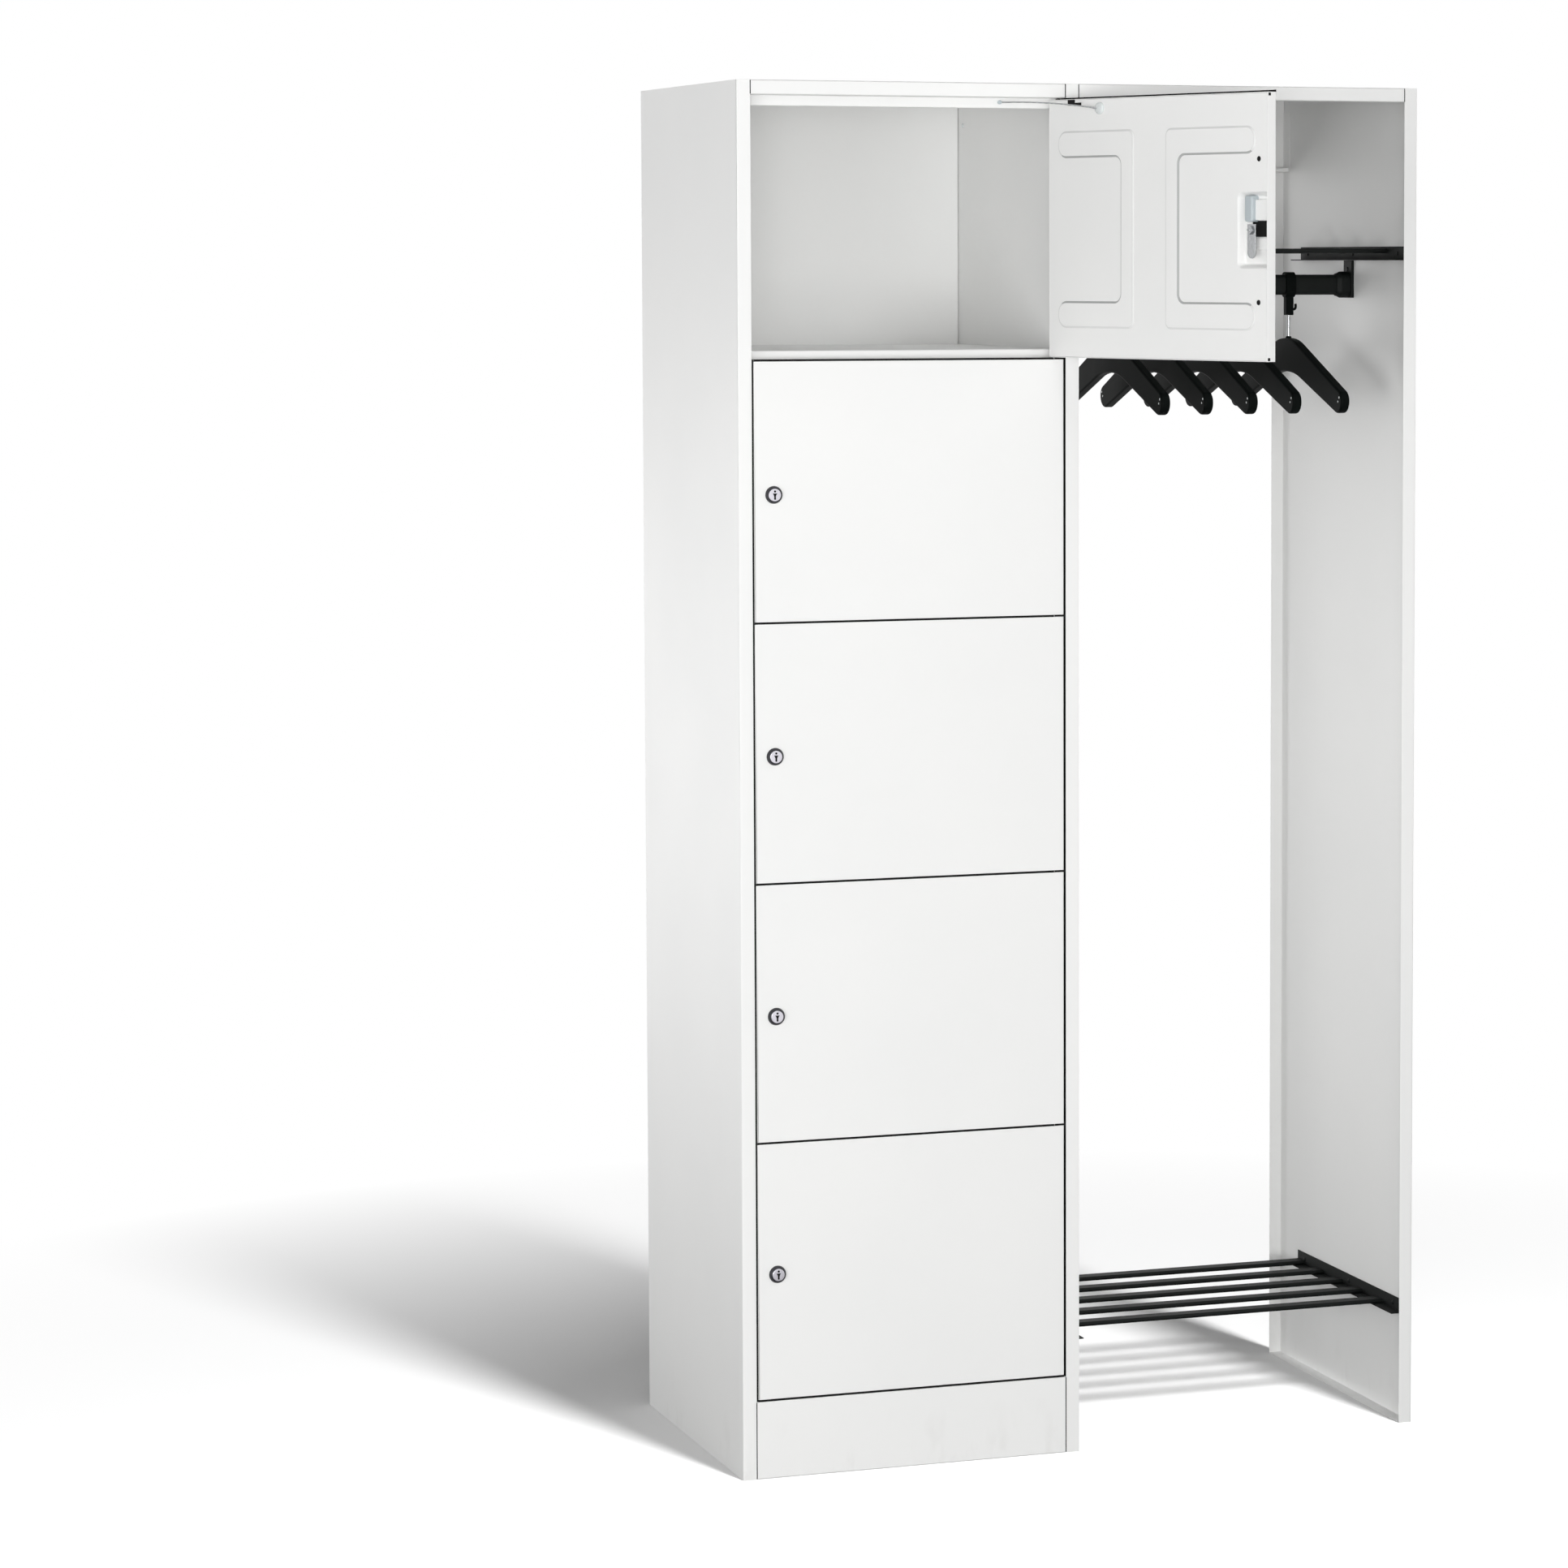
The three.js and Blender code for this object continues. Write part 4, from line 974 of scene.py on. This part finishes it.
class LOCKER_OT_hangers(bpy.types.Operator):
    """Makes the hangers, their wires and their gliders"""
    bl_idname = "locker.hangers"
    bl_label = "Make hangers"

    def execute(self, context):
        settings = context.scene.locker_hanger
        for number in hanger_numbers:
            low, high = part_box(f"hanger_{number}")
            middle = (low + high) / 2
            place = Matrix.Translation((middle.x, middle.y, 0)) @ Matrix.Scale(mm, 4)
            self.arms(settings, number, place)
            self.wire(settings, number, place, high.z / mm)
            rounded_copy(f"hanger_glider_{number}", "hanger plastic", f"glider_{number}", 0.6 * mm, 2 * mm, 3)
            self.hook(number, middle.x / mm, middle.y / mm)
        return {"FINISHED"}

    def hook(self, number, x, y):
        """The round end of the glider's hook."""
        bend_x, bend_radius, steps, below_rail = 7.5, 3.6, 10, 18.0
        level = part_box("coat_rail")[0].z / mm - below_rail
        angles = [pi * k / steps for k in range(steps + 1)]
        bend = [(bend_x - bend_radius * cos(angle), level - bend_radius * sin(angle)) for angle in angles]
        path = [(4.4, level + 3.0), *bend, (11.2, level + 2.6), (10.6, level + 4.6)]
        line = tube(f"hook_line_{number}", [Vector(((x + along) * mm, y * mm, z * mm)) for along, z in path],
                    1.9 * mm)
        solid = bmesh.new()
        solid.from_mesh(line)
        bpy.data.meshes.remove(line)
        piece(f"glider_hook_{number}", solid, "hanger plastic", f"glider_{number}")

    def arms(self, settings, number, place):
        """The moulded arms, and the four small pins through their tips."""
        half_thick = 7.0
        body = f"hanger_{number}"
        solid = bmesh.new()
        half = [(0.0, 1598.5), (220.2, 1508.2), (207.2, 1477.6), (0.0, 1550.0)]
        corners = half + [(-y, z) for y, z in reversed(half[1:3])]
        face = solid.faces.new([solid.verts.new((-half_thick, y, z)) for y, z in corners])
        crown = [vert for vert in face.verts if vert.co.z > 1590]
        arch = [vert for vert in face.verts if 1545 < vert.co.z < 1560]
        tips = [vert for vert in face.verts if abs(vert.co.y) > 200]
        round_corner(solid, crown, 46.0, 12)
        round_corner(solid, arch, 58.0, 12)
        round_corner(solid, tips, 16.4, 8)
        thicken(solid, list(solid.faces), (2 * half_thick, 0, 0))
        rim = [edge for edge in solid.edges
               if near(abs(edge.verts[0].co.x), half_thick) and near(edge.verts[0].co.x, edge.verts[1].co.x)]
        bmesh.ops.recalc_face_normals(solid, faces=solid.faces)
        bevel(solid, rim, settings.edge_round / mm, 4)
        piece(f"hanger_arms_{number}", solid, "hanger plastic", body, (body,), place=place)
        pins = bmesh.new()
        for side in (1, -1):
            for y, z, radius in ((207.0, 1505.0, 1.7), (203.0, 1499.0, 1.5)):
                pin = [(0, 0.35), (radius * 0.7, 0.28), (radius, 0.0), (radius, -0.6), (0, -0.6)]
                for facing in (1, -1):
                    turn = Matrix.Rotation(-pi / 2 * facing, 4, "Z")
                    at = Matrix.Translation((half_thick * facing, y * side, z))
                    absorb(pins, turned(pin, 16, at @ turn))
        piece(f"hanger_pins_{number}", pins, "knob", body, place=place)

    def wire(self, settings, number, place, top):
        """The upright wire, and the collar where it enters the arms."""
        radius = settings.wire_radius / mm
        upright = Matrix.Rotation(pi / 2, 4, "X")
        wire = [(0, 1580.0), (radius, 1580.0), (radius, top - 0.6), (radius - 0.6, top), (0, top)]
        collar = [(0, 1586.5), (4.6, 1586.5), (4.6, 1589.0), (3.6, 1590.6), (radius, 1591.0), (0, 1591.0)]
        for word, profile, look in (("wire", wire, "wire"), ("collar", collar, "hanger plastic")):
            piece(f"hanger_{word}_{number}", turned(profile, 24, upright), look, f"hanger_{number}",
                  place=place)


class LOCKER_OT_screws(bpy.types.Operator):
    """Makes the screws of the racks, the rear rail and the brackets"""
    bl_idname = "locker.screws"
    bl_label = "Make screws"

    def execute(self, context):
        bay_left, bay_right, rail_back = 500.0, 1018.7, 497.6
        dark, bright, plug = bmesh.new(), bmesh.new(), bmesh.new()
        racks = [(1.5, y, z) for z in (1713.0, 166.0) for y in (62.0, 226.0, 398.0)]
        brackets = [(4.0, 240.0, 1690.0)]
        for reach, y, z in racks + brackets:
            self.head(dark, (bay_left + reach, y, z), 1, "X", 3.4)
            self.head(dark, (bay_right - reach, y, z), -1, "X", 3.4)
        for x, z in ((511.0, 1856.0), (989.0, 1856.0), (511.0, 1930.0), (989.0, 1930.0)):
            self.head(bright, (x, rail_back, z), -1, "Y", 4.2)
        for z in (360.0, 960.0, 1560.0):
            self.head(bright, (1.0, 486.0, z), 1, "X", 3.0)
        self.head(plug, (stile_right, 446.0, 1903.0), -1, "X", 3.2)
        for name, solid, look in (("rack_screws", dark, "dark coat"), ("rail_screws", bright, "wire"),
                                  ("hole_plug", plug, "knob")):
            piece(name, solid, look, "carcass", place=cabinet_place)
        return {"FINISHED"}

    def head(self, solid, at, facing, axis, radius):
        """A domed head that faces up or down one axis."""
        profile = [(0, 1.5), (radius * 0.55, 1.42), (radius * 0.85, 1.05), (radius, 0.4), (radius, -0.3),
                   (0, -0.3)]
        turn = Matrix.Rotation(0 if facing > 0 else pi, 4, "Z")
        if axis == "X":
            turn = Matrix.Rotation(-pi / 2 * facing, 4, "Z")
        absorb(solid, turned(profile, 24, Matrix.Translation(at) @ turn))


class LOCKER_OT_stage(bpy.types.Operator):
    """Makes the pale floor, the lamps and the room light"""
    bl_idname = "locker.stage"
    bl_label = "Make stage"

    def execute(self, context):
        studio = context.scene.locker_studio
        context.scene.view_settings.view_transform = "Standard"
        floor = self.floor(studio)
        self.lamp("key_lamp", (1.9, -8.9, 7.9), 2.4, studio.key_power)
        self.lamp("front_softbox", (-2.0, -6.5, 1.1), 2.4, studio.front_power)
        self.lamp("left_softbox", (-3.2, -3.0, 0.6), 1.6, studio.left_power)
        self.lamp("rear_softbox", (-2.2, 3.4, 0.7), 1.6, studio.rear_power)
        floor_lamp = self.lamp("floor_lamp", (1.9, -9.2, 7.3), 1.8, studio.floor_power)
        lit = bpy.data.collections.new("lit by the floor lamp")
        lit.objects.link(floor)
        floor_lamp.light_linking.receiver_collection = lit
        self.room(context, studio)
        return {"FINISHED"}

    def floor(self, studio):
        """Pale to the camera, darker to the light that it throws back, and white far away."""
        solid = bmesh.new()
        bmesh.ops.create_grid(solid, x_segments=2, y_segments=2, size=20.0)
        mesh = bpy.data.meshes.new("studio_floor")
        solid.to_mesh(mesh)
        solid.free()
        floor = in_scene("studio_floor", mesh)
        ground = Finish("studio floor", Roughness=1.0, **{"Specular IOR Level": 0.0})
        camera = ground.light_path("Is Camera Ray")
        seen_color = opaque((studio.floor_seen,) * 3)
        ground.set("Base Color", ground.mixed(camera, opaque(studio.floor_color), seen_color))
        seen = (camera + ground.light_path("Is Glossy Ray")).between(0.0, 1.0)
        reach = ground.add("ShaderNodeVectorMath", {"operation": "LENGTH"}, {0: ground.place})
        far = Reading(ground, reach.outputs["Value"]).stepped(0.7, 2.2)
        glow = ground.add("ShaderNodeEmission", None, {"Strength": 1.0})
        faded = ground.blended(far * seen, ground.surface.outputs[0], glow.outputs[0])
        ground.feed(ground.output.inputs["Surface"], faded)
        mesh.materials.append(ground.material)
        return floor

    def lamp(self, name, place, size, watts):
        """A round lamp aimed at the middle of the unit."""
        data = bpy.data.lights.new(name, "AREA")
        data.shape = "DISK"
        data.size = size
        data.energy = watts
        lamp = in_scene(name, data)
        lamp.location = place
        aim = Vector((0.0, 0.0, 0.9)) - Vector(place)
        lamp.rotation_euler = aim.to_track_quat("-Z", "Y").to_euler()
        lamp.visible_camera = False
        return lamp

    def room(self, context, studio):
        """White where it is seen; as a light, bright walls under a dim ceiling."""
        world = bpy.data.worlds.new("studio room")
        room = Wiring(world, "ShaderNodeOutputWorld")
        seen = (room.light_path("Is Camera Ray") + room.light_path("Is Glossy Ray")
                + room.light_path("Is Transmission Ray")).between(0.0, 1.0)
        direction = room.add("ShaderNodeTexCoord").outputs["Generated"]
        upwards = room.add("ShaderNodeSeparateXYZ", None, {0: direction})
        low = (1.0 - Reading(room, upwards.outputs[2])).between(0.0, 1.0)
        walls = room.add("ShaderNodeBackground", None, {"Strength": low * low * low * studio.wall_light})
        backdrop = room.add("ShaderNodeBackground", None, {"Strength": 1.0})
        for light in (walls, backdrop):
            light.inputs["Color"].default_value = (1, 1, 1, 1)
        room.feed(room.output.inputs["Surface"], room.blended(seen, walls.outputs[0], backdrop.outputs[0]))
        context.scene.world = world


makers = (LOCKER_OT_camera, LOCKER_OT_stays, LOCKER_OT_carcass, LOCKER_OT_painted_gap_shade, LOCKER_OT_racks,
          LOCKER_OT_rail, LOCKER_OT_doors, LOCKER_OT_locks, LOCKER_OT_hangers, LOCKER_OT_screws,
          LOCKER_OT_stage)
setting_groups = {
    "locker_studio": StudioSettings,
    "locker_steel": SteelSettings,
    "locker_door": DoorSettings,
    "locker_lock": LockSettings,
    "locker_hanger": HangerSettings,
    "locker_stay": StaySettings,
}


class LOCKER_PT_panel(bpy.types.Panel):
    """Lists the settings and the steps that make the unit"""
    bl_idname = "LOCKER_PT_panel"
    bl_label = "Locker Unit"
    bl_space_type = "VIEW_3D"
    bl_region_type = "UI"
    bl_category = "Locker Unit"

    def draw(self, context):
        for maker in makers:
            self.layout.operator(maker.bl_idname)
        for group_name, group in setting_groups.items():
            box = self.layout.box()
            for setting in group.__annotations__:
                box.prop(getattr(context.scene, group_name), setting)


def register():
    for group_name, group in setting_groups.items():
        bpy.utils.register_class(group)
        setattr(bpy.types.Scene, group_name, PointerProperty(type=group))
    for shown in (*makers, LOCKER_PT_panel):
        bpy.utils.register_class(shown)


def unregister():
    for shown in reversed((*makers, LOCKER_PT_panel)):
        bpy.utils.unregister_class(shown)
    for group_name, group in setting_groups.items():
        delattr(bpy.types.Scene, group_name)
        bpy.utils.unregister_class(group)


def main():
    register()
    for maker in makers:
        area, name = maker.bl_idname.split(".")
        getattr(getattr(bpy.ops, area), name)()


if __name__ == "__main__":
    main()
